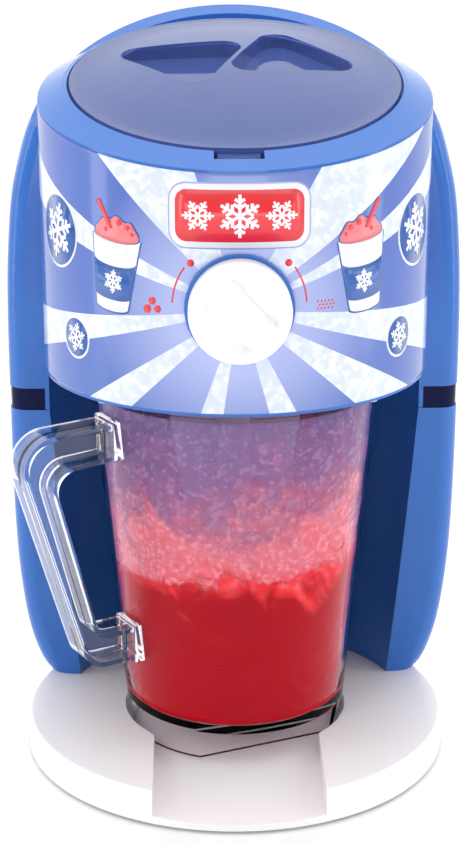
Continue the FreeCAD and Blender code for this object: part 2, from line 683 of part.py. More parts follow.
def motor_pinion():
    """Brass pinion on the motor shaft."""
    phase = -math.pi / 2 + math.pi / PINION_TEETH
    body = involute_gear(PINION_TEETH, GEAR_Z - 1, GEAR_Z + GEAR_T + 1, 0.25, 0.85, 1.15, phase)
    body.translate(Vector(0, CENTRE_DISTANCE, 0))
    return body.cut(cyl(2.5, 230, 300, 0, CENTRE_DISTANCE))


def motor_shaft():
    """Motor's output shaft."""
    return cyl(2.5, GEAR_Z - 2, CHASSIS_Z + CHASSIS_T + 12, 0, CENTRE_DISTANCE)


def motor():
    """Closed motor can with a front boss, a terminal block and a hole for its shaft."""
    z0 = CHASSIS_Z + CHASSIS_T
    can = cyl(MOTOR_R, z0, z0 + MOTOR_H, 0, CENTRE_DISTANCE)
    rims = [e for e in can.Edges if e.Closed and abs(e.CenterOfMass.z - z0 - MOTOR_H) < 0.01]
    can = can.makeFillet(3.0, rims)
    boss = cyl(8.0, CHASSIS_Z, z0 + 1, 0, CENTRE_DISTANCE)
    terminals = block(-8, 8, CENTRE_DISTANCE + MOTOR_R - 2, CENTRE_DISTANCE + MOTOR_R + 5, z0 + 22, z0 + 34)
    bore = cyl(2.5 + RUN_GAP, CHASSIS_Z - 5, z0 + 16, 0, CENTRE_DISTANCE)
    holes = [cyl(1.6, z0 - 1, z0 + 6, x, CENTRE_DISTANCE + y) for x, y in MOTOR_HOLES]
    return fuse([can, boss, terminals]).cut([bore] + holes)


def chassis():
    """Steel plate that carries the motor."""
    plate = cyl(92.0, CHASSIS_Z, CHASSIS_Z + CHASSIS_T)
    chute_gap = block(20, 120, -CHUTE_HALF - 4.5, CHUTE_HALF + 4.5, 250, 280)
    front_gap = block(-60, 40, -120, -62, 250, 280)
    holes = [cyl(8.0 + 0.05, 250, 280, 0, CENTRE_DISTANCE), cyl(14.0, 250, 280)]
    holes += [cyl(1.8, 250, 280, x, CENTRE_DISTANCE + y) for x, y in MOTOR_HOLES]
    holes += [cyl(1.9, 250, 280, x, y) for x, y in POST_PLACES]
    lighten = [cyl(10.0, 250, 280, x, y) for x, y in ((-38, 66), (-44, -44), (-76, 0))]
    return plate.cut([chute_gap, front_gap] + holes + lighten)


def motor_screws():
    """Screws that hold the motor, from below."""
    return group([screw(x, CENTRE_DISTANCE + y, CHASSIS_Z - 2.4, 7.5, 3.2, 1.6) for x, y in MOTOR_HOLES])


def chassis_screws():
    """Screws that hold the chassis on its posts."""
    return group([screw(x, y, CHASSIS_Z + CHASSIS_T + 2.4, 12.0, 3.4, 1.7, -1.0) for x, y in POST_PLACES])


def head_floor():
    """Bottom plate of the head, with posts, the ice outlet and the shaft's hole."""
    radius = DRUM_R - DRUM_WALL - 0.1
    plate = cyl(radius, DRUM_Z, DRUM_Z + 3)
    posts = [cyl(5.0, DRUM_Z + 1, CHASSIS_Z, x, y) for x, y in POST_PLACES]
    post_holes = [cyl(1.7, CHASSIS_Z - 13, CHASSIS_Z + 1, x, y) for x, y in POST_PLACES]
    rim_holes = [cyl(1.9, DRUM_Z - 1, DRUM_Z + 5, *polar(RIM_SCREW_R, a)) for a in RIM_SCREW_ANGLES]
    outlet = block(48, 76, -CHUTE_HALF, CHUTE_HALF, DRUM_Z - 2, DRUM_Z + 6)
    lip = block(46, 78, -CHUTE_HALF - 2, CHUTE_HALF + 2, DRUM_Z + 1, DRUM_Z + 6)
    bush = cyl(9.0, DRUM_Z - 1, DRUM_Z + 5)
    return fuse([plate, lip] + posts).cut([outlet, bush] + post_holes + rim_holes)


def floor_screws():
    """Screws that close the head from below."""
    return group([screw(*polar(RIM_SCREW_R, a), DRUM_Z - 2.4, 15.0, 3.4, 1.6) for a in RIM_SCREW_ANGLES])


def lower_bush():
    """Flanged bush of the main shaft in the head's floor."""
    body = fuse([cyl(9.0, DRUM_Z, DRUM_Z + 8), cyl(12.0, DRUM_Z + 3, DRUM_Z + 5.5)])
    return body.cut(cyl(SHAFT_R + RUN_GAP, 220, 260))


def ice_chute():
    """Funnel that leads the shaved ice from the blade to the jug."""
    def frame(x0, x1, half, z):
        points = [Vector(x0, -half, z), Vector(x1, -half, z), Vector(x1, half, z), Vector(x0, half, z)]
        return Part.makePolygon(points + points[:1])
    top = 303.0
    knee = 266.0
    low = DRUM_Z + 6
    half = CHUTE_HALF
    outer = fuse([Part.makeLoft([frame(24, 80, half + 2, top), frame(46, 80, half + 2, knee)], True, True),
                  block(46, 80, -half - 2, half + 2, low, knee)])
    inner = fuse([Part.makeLoft([frame(26, 78, half, top + 0.01), frame(48, 78, half, knee - 0.01)], True, True),
                  block(48, 78, -half, half, low - 1, knee)])
    return outer.cut(inner)


# ---------------------------------------------------------------------------------------------------
# Head: coarse and fine adjustment
# ---------------------------------------------------------------------------------------------------
def knob():
    """Round white knob with a slanting grip between two scooped hollows."""
    depth = KNOB_BACK_Y - KNOB_FRONT_Y
    body = rod_y(KNOB_R, KNOB_FRONT_Y, KNOB_BACK_Y, 0, 0)
    rims = [e for e in body.Edges if e.Closed and abs(e.CenterOfMass.y - KNOB_FRONT_Y) < 0.01]
    body = body.makeFillet(2.2, rims)
    scoops = []
    for side in (-1, 1):
        scoop_r = 34.0
        axis_start = Vector(-60, KNOB_FRONT_Y - 25.0, side * (5.0 + 23.0))
        scoops.append(Part.makeCylinder(scoop_r, 120, axis_start, Vector(1, 0, 0)))
    guard = rod_y(KNOB_R - 2.0, KNOB_FRONT_Y - 5, KNOB_FRONT_Y + depth - 4.0, 0, 0)
    scoops = [s.common(guard) for s in scoops]
    body = body.cut(scoops)
    body.rotate(Vector(0, 0, 0), Vector(0, 1, 0), 42.0)
    body.translate(Vector(KNOB_X, 0, KNOB_Z))
    return body.cut(rod_y(4.0, KNOB_BACK_Y - 7, KNOB_BACK_Y + 1, KNOB_X, KNOB_Z))


def knob_ring():
    """Thin blue ring that frames the knob."""
    ring = rod_y(KNOB_RING_R, -111.2, -109.5, KNOB_X, KNOB_Z).cut(rod_y(6.0, -115, -100, KNOB_X, KNOB_Z))
    spigot = rod_y(KNOB_RING_R - 2.1, -109.6, -104.0, KNOB_X, KNOB_Z)
    spigot = spigot.cut(rod_y(KNOB_RING_R - 4.6, -108, -100, KNOB_X, KNOB_Z))
    return fuse([ring, spigot]).cut(rod_y(4.0 + RUN_GAP, -120, -90, KNOB_X, KNOB_Z))


def knob_shaft():
    """Shaft of the knob with an eccentric cam at its inner end."""
    rod = rod_y(4.0, KNOB_BACK_Y - 7, -72.0, KNOB_X, KNOB_Z)
    cam = rod_y(7.0, -74.0, -68.0, KNOB_X + CAM_OFFSET, KNOB_Z)
    return fuse([rod, cam])


def knob_bracket():
    """Bracket on the hopper that carries the inner end of the knob's shaft."""
    plate = block(-12, 12, -80.0, -77.0, KNOB_Z - 12, HOPPER_FLOOR)
    foot = block(-12, 12, -80.0, -70.0, HOPPER_FLOOR - 2.5, HOPPER_FLOOR)
    return fuse([plate, foot]).cut(rod_y(4.0 + RUN_GAP, -90, -60, KNOB_X, KNOB_Z))


def blade_carrier():
    """Plate under the hopper that lifts the blade; its yoke follows the cam."""
    lift = 1.6
    z1 = HOPPER_FLOOR - lift - 0.3
    plate = block(24, 78, -17, 17, z1 - 2.6, z1)
    arm = prism_xy([(24, -10), (36, -17), (16, -58), (12, -58)], z1 - 2.6, z1)
    bridge = block(-14, 17, -66.0, -56.0, z1 - 2.6, z1)
    yoke = block(-14, 17, -66.8, -63.0, KNOB_Z - 12, z1)
    yoke = fuse([yoke, block(-14, 17, -73.0, -63.0, KNOB_Z - 12, KNOB_Z + 11)])
    yoke = yoke.cut(block(-9.5, 13.0, -80, -60, KNOB_Z - 7.3, KNOB_Z + 7.3))
    window = block(30, 72, -4.0, 8.0, z1 - 5, z1 + 5)
    holes = [cyl(1.6, z1 - 5, z1 + 5, x, -11.0) for x in BLADE_SCREW_X]
    return fuse([plate, arm, bridge, yoke]).cut([window] + holes)


def shaver_blade():
    """Steel blade, ground to an edge, screwed under its carrier's window."""
    z1 = HOPPER_FLOOR - 1.9
    low = z1 - 4.2
    seat = z1 - 2.6
    tip = HOPPER_FLOOR + 3.2
    blade = prism_yz([(-16.0, low), (-0.4, low), (6.0, tip), (5.0, tip), (-2.0, seat), (-16.0, seat)], 31, 71)
    holes = [cyl(1.6, z1 - 8, z1 + 5, x, -11.0) for x in BLADE_SCREW_X]
    return blade.cut(holes)


def blade_screws():
    """Two screws of the blade."""
    z1 = HOPPER_FLOOR - 1.9
    return group([screw(x, -11.0, z1 - 4.2 - 2.4, 3.8, 3.0, 1.6) for x in BLADE_SCREW_X])


# ---------------------------------------------------------------------------------------------------
# Head: safety switch under the lid
# ---------------------------------------------------------------------------------------------------
def plunger_top():
    """Height at which the lid's tab meets the plunger."""
    return on_lid(Part.Vertex(0, PLUNGER_Y - 1.0, -6.0)).Point.z


def switch_plunger():
    """White pin that the lid's tab presses down."""
    top = plunger_top() - PRESS
    return fuse([cyl(3.4, top - 29.0, top - 0.01, 0, PLUNGER_Y),
                 cyl(6.0, top - COLLAR_DROP, top - COLLAR_DROP + 2.4, 0, PLUNGER_Y)])


def plunger_guide():
    """Guide on the hopper's flange that holds the plunger and its spring."""
    top = plunger_top() - PRESS
    outer = block(-9, 9, PLUNGER_Y - 9, PLUNGER_Y + 6.5, top - 39, top - 26.0)
    walls = block(-9, 9, PLUNGER_Y - 9, PLUNGER_Y + 6.5, top - 26.0, top - 6.0)
    walls = walls.cut([cyl(6.5, top - 26.0, top, 0, PLUNGER_Y),
                       block(-7, 7, PLUNGER_Y - 10, PLUNGER_Y + 10, top - 19.0, top)])
    over_flange = on_lid(block(-50, 50, -150, 0, -16.8, 60))
    cavity = block(-6.5, 6.5, PLUNGER_Y - 6.5, PLUNGER_Y + 7, top - 37, top - 28.2)
    body = fuse([outer, walls]).cut([cavity, cyl(3.4 + 0.3, top - 33, top, 0, PLUNGER_Y), over_flange])
    return body


def plunger_spring():
    """Return spring of the plunger."""
    top = plunger_top() - PRESS
    low = top - 26.0
    high = top - COLLAR_DROP - 0.05
    wire = 0.5
    turns = 5
    radius = 4.8
    pitch = (high - low - 2 * wire) / turns
    helix = Part.makeHelix(pitch, high - low - 2 * wire, radius)
    helix.translate(Vector(0, PLUNGER_Y, low + wire))
    start = helix.Edges[0].valueAt(helix.Edges[0].FirstParameter)
    tangent = helix.Edges[0].tangentAt(helix.Edges[0].FirstParameter)
    section = Part.Wire([Part.Circle(start, tangent, wire).toShape()])
    return Part.Wire(helix.Edges).makePipeShell([section], True, True)


def microswitch():
    """Small switch in the guide, worked by the plunger's lower end."""
    top = plunger_top() - PRESS
    return block(-6.3, 6.3, PLUNGER_Y - 6.3, PLUNGER_Y + 6.3, top - 37.0, top - 32.6)


# ---------------------------------------------------------------------------------------------------
# Jug
# ---------------------------------------------------------------------------------------------------
def jug_radius(z):
    """Outer radius of the jug at a height."""
    return line_at(JUG_R, z, JUG_BOTTOM, JUG_TOP)


def jug_body():
    """Clear jug on a hollow foot that has a locating flat at the front."""
    inside = JUG_BOTTOM + 3.0
    wall = lathe([(0, JUG_BOTTOM), (JUG_R[0], JUG_BOTTOM), (jug_radius(JUG_TOP - 3), JUG_TOP - 3),
                  (JUG_R[1] + 0.9, JUG_TOP - 2.2), (JUG_R[1] + 0.9, JUG_TOP - 0.4), (JUG_R[1], JUG_TOP),
                  (JUG_R[1] - JUG_WALL, JUG_TOP), (jug_radius(inside + 6) - JUG_WALL, inside + 6),
                  (jug_radius(inside) - JUG_WALL - 4, inside), (0, inside)])
    foot = cone(63.4, JUG_R[0], JUG_FOOT_Z, JUG_BOTTOM)
    foot_in = cone(63.4 - JUG_WALL, JUG_R[0] - JUG_WALL, JUG_FOOT_Z - 0.01, JUG_BOTTOM + 0.01)
    flat = turned(block(JUG_FLAT, 120, -100, 100, 0, JUG_BOTTOM - 0.01), JUG_FLAT_ANGLE)
    flat_in = turned(block(JUG_FLAT - JUG_WALL, 120, -100, 100, 0, JUG_BOTTOM + 1), JUG_FLAT_ANGLE)
    foot = foot.cut(flat).cut(foot_in.cut(flat_in))
    return fuse([wall, foot])


def smooth_outline(points, radii):
    """Closed wire in the XZ plane with rounded corners."""
    edges = []
    count = len(points)
    tangents = []
    for index, (x, z) in enumerate(points):
        before = Vector(*points[index - 1][:1], 0, points[index - 1][1])
        here = Vector(x, 0, z)
        after = Vector(points[(index + 1) % count][0], 0, points[(index + 1) % count][1])
        to_before = (before - here).normalize()
        to_after = (after - here).normalize()
        half = to_before.getAngle(to_after) / 2.0
        reach = radii[index] / math.tan(half) if radii[index] > 0 else 0.0
        start = here + to_before * reach
        end = here + to_after * reach
        middle = None
        if radii[index] > 0:
            bisector = (to_before + to_after).normalize()
            centre = here + bisector * (radii[index] / math.sin(half))
            middle = centre - bisector * radii[index]
        tangents.append((start, middle, end))
    for index in range(count):
        start, middle, end = tangents[index]
        following = tangents[(index + 1) % count][0]
        if middle is not None:
            edges.append(Part.Arc(start, middle, end).toShape())
        if (following - end).Length > 0.01:
            edges.append(Part.LineSegment(end, following).toShape())
    return Part.Wire(edges)


def handle_slab(outer, outer_r, inner, inner_r, y0, y1):
    """Bent bar between two outlines."""
    loops = []
    for points, radii in ((outer, outer_r), (inner, inner_r)):
        wire = smooth_outline(points, radii)
        face = Part.Face(wire)
        solid = face.extrude(Vector(0, y1 - y0, 0))
        solid.translate(Vector(0, y0, 0))
        loops.append(solid)
    return loops[0].cut(loops[1])


def jug_handle():
    """Clear handle: two rails joined by a thin web, with cross ribs."""
    half = HANDLE_WIDTH / 2.0
    rib = HANDLE_RIB
    bar = handle_slab(HANDLE_OUTER, HANDLE_OUTER_R, HANDLE_INNER, HANDLE_INNER_R, -half, half)
    pocket_outer = [(40.0, 215.0 - rib), (147.0 - rib * 1.3, 213.0 - rib), (103.5 - rib * 0.7, 69.5 + rib),
                    (40.0, 69.5 + rib)]
    pocket_inner = [(40.0, 195.0 + rib), (123.5 + rib * 1.3, 191.0 + rib), (96.5 + rib * 0.7, 90.0 - rib),
                    (40.0, 90.0 - rib)]
    outer_r = [0.0, HANDLE_OUTER_R[1] - rib, HANDLE_OUTER_R[2] - rib, 0.0]
    inner_r = [0.0, HANDLE_INNER_R[1] + rib, HANDLE_INNER_R[2] + rib, 0.0]
    web = 1.4
    pockets = [handle_slab(pocket_outer, outer_r, pocket_inner, inner_r, web, half + 1),
               handle_slab(pocket_outer, outer_r, pocket_inner, inner_r, -half - 1, -web)]
    bar = bar.cut(pockets)
    bar = turned(bar, HANDLE_ANGLE)
    top_r = jug_radius(JUG_TOP)
    low = JUG_BOTTOM
    body = cone(JUG_R[0] + 0.02, top_r + 0.02, low, JUG_TOP)
    pads = []
    for z0, z1 in ((194.0, 216.0), (68.5, 91.0)):
        pad = block(50, jug_radius(z1) + 3.2, -half - 1.5, half + 1.5, z0, z1)
        pads.append(turned(pad, HANDLE_ANGLE))
    return fuse([bar] + pads).cut(body)


def paddle_reach(z):
    """Half width of the mixing paddle's fins at a height."""
    return 40.0 - (215.0 - z) * 0.167


def mixing_paddle():
    """Clear tapered stirrer that hangs in the jug, with two tapering fins."""
    top = DRUM_Z - 2.0
    low = 70.0
    post = cone(8.0, 10.5, low, top)
    tip = Part.makeSphere(8.0, Vector(0, 0, low))
    fins = []
    for side in (-1, 1):
        outline = [Vector(0, -1.3, 215.0), Vector(side * paddle_reach(215), -1.3, 215.0),
                   Vector(side * paddle_reach(95), -1.3, 95.0), Vector(side * 11.0, -1.3, 78.0), Vector(0, -1.3, 78.0)]
        fin = Part.Face(Part.makePolygon(outline + outline[:1])).extrude(Vector(0, 2.6, 0))
        fins.append(fin)
    collar = cyl(13.0, top - 5.0, top)
    body = fuse([post, tip, collar] + fins)
    return body.cut(hex_bar(SHAFT_R, DRUM_Z - 21, top + 1))


def slush_drink():
    """Frozen drink in the jug, with the space that the paddle sweeps left free."""
    inside = JUG_BOTTOM + 3.1
    clear = 0.15
    outline = [(0, inside), (jug_radius(inside) - JUG_WALL - 4.2, inside),
               (jug_radius(inside + 6) - JUG_WALL - clear, inside + 6.1),
               (jug_radius(DRINK_TOP) - JUG_WALL - clear, DRINK_TOP), (0, DRINK_TOP)]
    swept = cone(13.0, paddle_reach(DRINK_TOP + 2) + 2.5, 59.0, DRINK_TOP + 2)
    return lathe(outline).cut(swept)


# ---------------------------------------------------------------------------------------------------
# Assembly
# ---------------------------------------------------------------------------------------------------
def build():
    """Make every piece and return the nodes."""
    skin, liner = lower_tower()
    nodes = {
        "base_tray": base_tray(),
        "rubber_feet": rubber_feet(),
        "base_screws": base_screws(),
        "lower_housing": skin,
        "jug_surround": liner,
        "upper_housing": upper_housing(),
        "rear_cover": rear_cover(),
        "rear_cover_screws": rear_cover_screws(),
        "cord_gland": cord_gland(),
        "locating_block_left": locating_block(-1),
        "locating_block_right": locating_block(1),
        "drum_housing": drum_housing(),
        "label_film": label_film(),
        "top_ring": top_ring(),
        "lid": lid(),
        "lid_seal": lid_seal(),
        "hopper": hopper(),
        "upper_bush": upper_bush(),
        "ice_paddle": ice_paddle(),
        "main_shaft": main_shaft(),
        "drive_gear": drive_gear(),
        "gear_pin": gear_pin(),
        "lower_bush": lower_bush(),
        "motor": motor(),
        "motor_shaft": motor_shaft(),
        "motor_pinion": motor_pinion(),
        "motor_screws": motor_screws(),
        "chassis": chassis(),
        "chassis_screws": chassis_screws(),
        "head_floor": head_floor(),
        "floor_screws": floor_screws(),
        "ice_chute": ice_chute(),
        "knob": knob(),
        "knob_ring": knob_ring(),
        "knob_shaft": knob_shaft(),
        "knob_bracket": knob_bracket(),
        "blade_carrier": blade_carrier(),
        "shaver_blade": shaver_blade(),
        "blade_screws": blade_screws(),
        "switch_plunger": switch_plunger(),
        "plunger_guide": plunger_guide(),
        "plunger_spring": plunger_spring(),
        "microswitch": microswitch(),
        "mixing_paddle": mixing_paddle(),
        "jug_body": jug_body(),
        "jug_handle": jug_handle(),
        "slush_drink": slush_drink(),
    }
    return nodes


def main():
    """Write one STEP file per node."""
    os.makedirs("parts", exist_ok=True)
    for name, shape in build().items():
        solids = shape.Solids
        valid = shape.isValid()
        volume = sum(s.Volume for s in solids)
        print(f"{name:24s} solids {len(solids)} valid {valid} volume {volume:.0f}")
        shape.exportStep(f"parts/{name}.step")


if __name__ == "__main__":
    main()
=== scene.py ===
"""Looks of a counter-top slush machine, built round its fixed frame.

Everything is in metres in the machine's own frame: +Z up, the front towards -Y, the origin under
the middle of the base.  Sizes in the classes are millimetres where the field's comment says so.
"""

import json
import logging
import math
from dataclasses import dataclass, field
from enum import Enum
from functools import lru_cache
from typing import Callable, Sequence

import bmesh
import bpy
import numpy as np
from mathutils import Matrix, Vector


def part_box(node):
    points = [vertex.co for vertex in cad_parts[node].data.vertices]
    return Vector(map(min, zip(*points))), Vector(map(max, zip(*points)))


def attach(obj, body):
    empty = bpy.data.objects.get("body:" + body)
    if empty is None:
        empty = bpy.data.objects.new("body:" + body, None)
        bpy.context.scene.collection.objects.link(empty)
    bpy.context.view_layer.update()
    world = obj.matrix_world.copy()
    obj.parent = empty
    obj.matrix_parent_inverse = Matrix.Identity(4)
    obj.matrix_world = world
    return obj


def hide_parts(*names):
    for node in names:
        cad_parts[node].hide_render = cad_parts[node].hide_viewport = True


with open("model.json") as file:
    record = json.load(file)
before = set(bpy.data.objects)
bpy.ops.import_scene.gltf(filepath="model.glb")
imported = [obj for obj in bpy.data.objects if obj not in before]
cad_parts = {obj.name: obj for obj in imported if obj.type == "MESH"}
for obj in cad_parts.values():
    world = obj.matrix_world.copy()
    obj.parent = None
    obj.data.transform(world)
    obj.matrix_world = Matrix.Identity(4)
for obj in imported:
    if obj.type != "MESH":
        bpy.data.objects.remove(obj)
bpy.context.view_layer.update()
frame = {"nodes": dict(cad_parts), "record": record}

LOG = logging.getLogger("slush_machine")
MM = 0.001
Colour = tuple[float, float, float]
Outline = list[tuple[float, float]]


# ---------------------------------------------------------------------------------------------------
# Node trees
# ---------------------------------------------------------------------------------------------------
class Graph:
    """A short way to add and join the nodes of one tree."""

    def __init__(self, tree: bpy.types.NodeTree) -> None:
        """Keep the tree."""
        self.tree = tree

    def add(self, kind: str, inputs: dict | None = None, **settings: object) -> bpy.types.Node:
        """Add a node.

        Args:
            kind: The node's type name.
            inputs: Values or sockets by input name or number.
            settings: Attributes of the node itself.

        Returns:
            The new node.
        """
        node = self.tree.nodes.new(kind)
        for name, value in settings.items():
            setattr(node, name, value)
        for name, value in (inputs or {}).items():
            self.feed(node.inputs[name], value)
        return node

    def feed(self, socket: bpy.types.NodeSocket, value: object) -> None:
        """Give an input a value, or join it to an output socket."""
        if isinstance(value, bpy.types.NodeSocket):
            self.tree.links.new(value, socket)
        else:
            socket.default_value = value

    def math(self, operation: str, first: object, second: object = 0.0) -> bpy.types.NodeSocket:
        """Add a Math node and return its output."""
        node = self.add("ShaderNodeMath", {0: first, 1: second}, operation=operation)
        return node.outputs[0]

    def ramp(self, value: object, stops: Sequence[tuple[float, Colour]],
             interpolation: str = "LINEAR") -> bpy.types.NodeSocket:
        """Add a colour ramp.

        Args:
            value: Socket that picks the place on the ramp.
            stops: Places and their colours.
            interpolation: How the ramp runs between its stops.

        Returns:
            The colour output.
        """
        node = self.add("ShaderNodeValToRGB", {0: value})
        node.color_ramp.interpolation = interpolation
        elements = node.color_ramp.elements
        while len(elements) < len(stops):
            elements.new(0.5)
        for element, (place, colour) in zip(elements, stops):
            element.position = place
            element.color = (*colour, 1.0)
        return node.outputs[0]

    def mix(self, factor: object, first: object, second: object,
            blend: str = "MIX") -> bpy.types.NodeSocket:
        """Mix two colours and return the result."""
        node = self.add("ShaderNodeMix", data_type="RGBA", blend_type=blend)
        self.feed(node.inputs[0], factor)
        for index, value in ((6, first), (7, second)):
            self.feed(node.inputs[index], (*value, 1.0) if isinstance(value, tuple) else value)
        return node.outputs[2]


def new_tree(kind: str, name: str, inputs: Sequence[tuple], outputs: Sequence[tuple]) -> Graph:
    """Make a node group with named inputs and outputs.

    Args:
        kind: Type of the tree.
        name: Name of the tree.
        inputs: Name, socket type and optional default of every input.
        outputs: Name and socket type of every output.

    Returns:
        The graph of the new tree.
    """
    tree = bpy.data.node_groups.new(name, kind)
    for direction, rows in (("INPUT", inputs), ("OUTPUT", outputs)):
        for row in rows:
            socket = tree.interface.new_socket(name=row[0], in_out=direction, socket_type=row[1])
            if len(row) > 2:
                socket.default_value = row[2]
    return Graph(tree)


FLOAT = "NodeSocketFloat"
VECTOR = "NodeSocketVector"
GEOMETRY = "NodeSocketGeometry"
MATERIAL = "NodeSocketMaterial"


@lru_cache
def grain_group() -> bpy.types.NodeTree:
    """Fine moulding grain: a height, and a roughness that varies with handling marks."""
    g = new_tree("ShaderNodeTree", "moulding_grain",
                 [("Vector", VECTOR), ("Scale", FLOAT, 900.0), ("Roughness", FLOAT, 0.3),
                  ("Variation", FLOAT, 0.06)],
                 [("Height", FLOAT), ("Roughness", FLOAT)])
    given = g.add("NodeGroupInput").outputs
    fine = g.add("ShaderNodeTexNoise", {"Vector": given["Vector"], "Scale": given["Scale"], "Detail": 3.0})
    broad = g.add("ShaderNodeTexNoise", {"Vector": given["Vector"], "Scale": 38.0, "Detail": 4.0,
                                         "Distortion": 0.6})
    swing = g.math("MULTIPLY", g.math("SUBTRACT", broad.outputs[0], 0.5), given["Variation"])
    rough = g.math("ADD", given["Roughness"], swing)
    g.add("NodeGroupOutput", {"Height": fine.outputs[0], "Roughness": rough})
    return g.tree


@lru_cache
def wear_group() -> bpy.types.NodeTree:
    """Mask of rubbed edges, broken up by noise."""
    g = new_tree("ShaderNodeTree", "edge_wear",
                 [("Vector", VECTOR), ("Amount", FLOAT, 0.4)], [("Mask", FLOAT)])
    given = g.add("NodeGroupInput").outputs
    edge = g.add("ShaderNodeNewGeometry").outputs["Pointiness"]
    raised = g.add("ShaderNodeMapRange", {0: edge, 1: 0.53, 2: 0.60}, clamp=True).outputs[0]
    broken = g.add("ShaderNodeTexNoise", {"Vector": given["Vector"], "Scale": 160.0, "Detail": 5.0})
    patchy = g.math("MULTIPLY", raised, broken.outputs[0])
    g.add("NodeGroupOutput", {"Mask": g.math("MULTIPLY", patchy, given["Amount"])})
    return g.tree


@lru_cache
def dust_group() -> bpy.types.NodeTree:
    """Mask of the fine dust that settles on faces that look up."""
    g = new_tree("ShaderNodeTree", "settled_dust",
                 [("Vector", VECTOR), ("Amount", FLOAT, 0.1)], [("Mask", FLOAT)])
    given = g.add("NodeGroupInput").outputs
    normal = g.add("ShaderNodeNewGeometry").outputs["Normal"]
    up = g.add("ShaderNodeSeparateXYZ", {0: normal}).outputs[2]
    facing = g.add("ShaderNodeMapRange", {0: up, 1: 0.55, 2: 1.0}, clamp=True).outputs[0]
    cloud = g.add("ShaderNodeTexNoise", {"Vector": given["Vector"], "Scale": 55.0, "Detail": 8.0})
    g.add("NodeGroupOutput",
          {"Mask": g.math("MULTIPLY", g.math("MULTIPLY", facing, cloud.outputs[0]), given["Amount"])})
    return g.tree


@lru_cache
def crystal_group() -> bpy.types.NodeTree:
    """Packed ice crystals: a cell colour mask and a height."""
    g = new_tree("ShaderNodeTree", "packed_crystals",
                 [("Vector", VECTOR), ("Scale", FLOAT, 300.0)], [("Mask", FLOAT), ("Height", FLOAT)])
    given = g.add("NodeGroupInput").outputs
    warp = g.add("ShaderNodeTexNoise", {"Vector": given["Vector"], "Scale": 60.0, "Detail": 3.0})
    small = g.add("ShaderNodeVectorMath", {0: warp.outputs[1], 3: 0.006}, operation="SCALE")
    place = g.add("ShaderNodeVectorMath", {0: given["Vector"], 1: small.outputs[0]}, operation="ADD")
    cells = g.add("ShaderNodeTexVoronoi", {"Vector": place.outputs[0], "Scale": given["Scale"]},
                  feature="SMOOTH_F1")
    grey = g.add("ShaderNodeSeparateXYZ", {0: cells.outputs["Color"]}).outputs[0]
    g.add("NodeGroupOutput", {"Mask": grey, "Height": cells.outputs["Distance"]})
    return g.tree


# ---------------------------------------------------------------------------------------------------
# Finishes
# ---------------------------------------------------------------------------------------------------
def start_material(name: str) -> tuple[bpy.types.Material, Graph, bpy.types.Node, bpy.types.NodeSocket]:
    """Make a material with a Principled shader.

    Args:
        name: Name of the material.

    Returns:
        The material, its graph, the shader and the Object coordinates.
    """
    material = bpy.data.materials.new(name)
    material.use_nodes = True
    g = Graph(material.node_tree)
    shader = material.node_tree.nodes["Principled BSDF"]
    place = g.add("ShaderNodeTexCoord").outputs["Object"]
    return material, g, shader, place


def use(g: Graph, tree: bpy.types.NodeTree, inputs: dict) -> bpy.types.Node:
    """Place a shared group in a material."""
    node = g.add("ShaderNodeGroup", node_tree=tree)
    for name, value in inputs.items():
        g.feed(node.inputs[name], value)
    return node


@dataclass(frozen=True)
class Moulded:
    """Moulded plastic or rubber, from matt to high gloss."""

    name: str
    colour: Colour
    roughness: float = 0.3
    coat: float = 0.0
    grain: float = 900.0
    depth: float = 0.05
    wear: float = 0.25
    dust: float = 0.06
    shade: float = 0.08
    subsurface: float = 0.0
    specular: float = 0.5

    def make(self) -> bpy.types.Material:
        """Build the material and return it."""
        material, g, shader, place = start_material(self.name)
        grain = use(g, grain_group(), {"Vector": place, "Scale": self.grain, "Roughness": self.roughness})
        worn = use(g, wear_group(), {"Vector": place, "Amount": self.wear}).outputs[0]
        dusty = use(g, dust_group(), {"Vector": place, "Amount": self.dust}).outputs[0]
        cloud = g.add("ShaderNodeTexNoise", {"Vector": place, "Scale": 11.0, "Detail": 3.0})
        dark = tuple(c * (1.0 - self.shade) for c in self.colour)
        light = tuple(min(1.0, c * (1.0 + self.shade) + 0.01) for c in self.colour)
        tone = g.mix(cloud.outputs[0], dark, light)
        rubbed = g.mix(worn, tone, tuple(min(1.0, c * 1.3 + 0.08) for c in self.colour))
        g.feed(shader.inputs["Base Color"], g.mix(dusty, rubbed, (0.62, 0.61, 0.60)))
        g.feed(shader.inputs["Roughness"], g.math("ADD", grain.outputs["Roughness"],
                                                  g.math("MULTIPLY", dusty, 0.6)))
        bump = g.add("ShaderNodeBump", {"Strength": self.depth, "Distance": 0.0004,
                                        "Height": grain.outputs["Height"]})
        g.feed(shader.inputs["Normal"], bump.outputs[0])
        shader.inputs["Coat Weight"].default_value = self.coat
        shader.inputs["Coat Roughness"].default_value = 0.04
        shader.inputs["Subsurface Weight"].default_value = self.subsurface
        shader.inputs["Subsurface Scale"].default_value = 0.004
        shader.inputs["Specular IOR Level"].default_value = self.specular
        return material


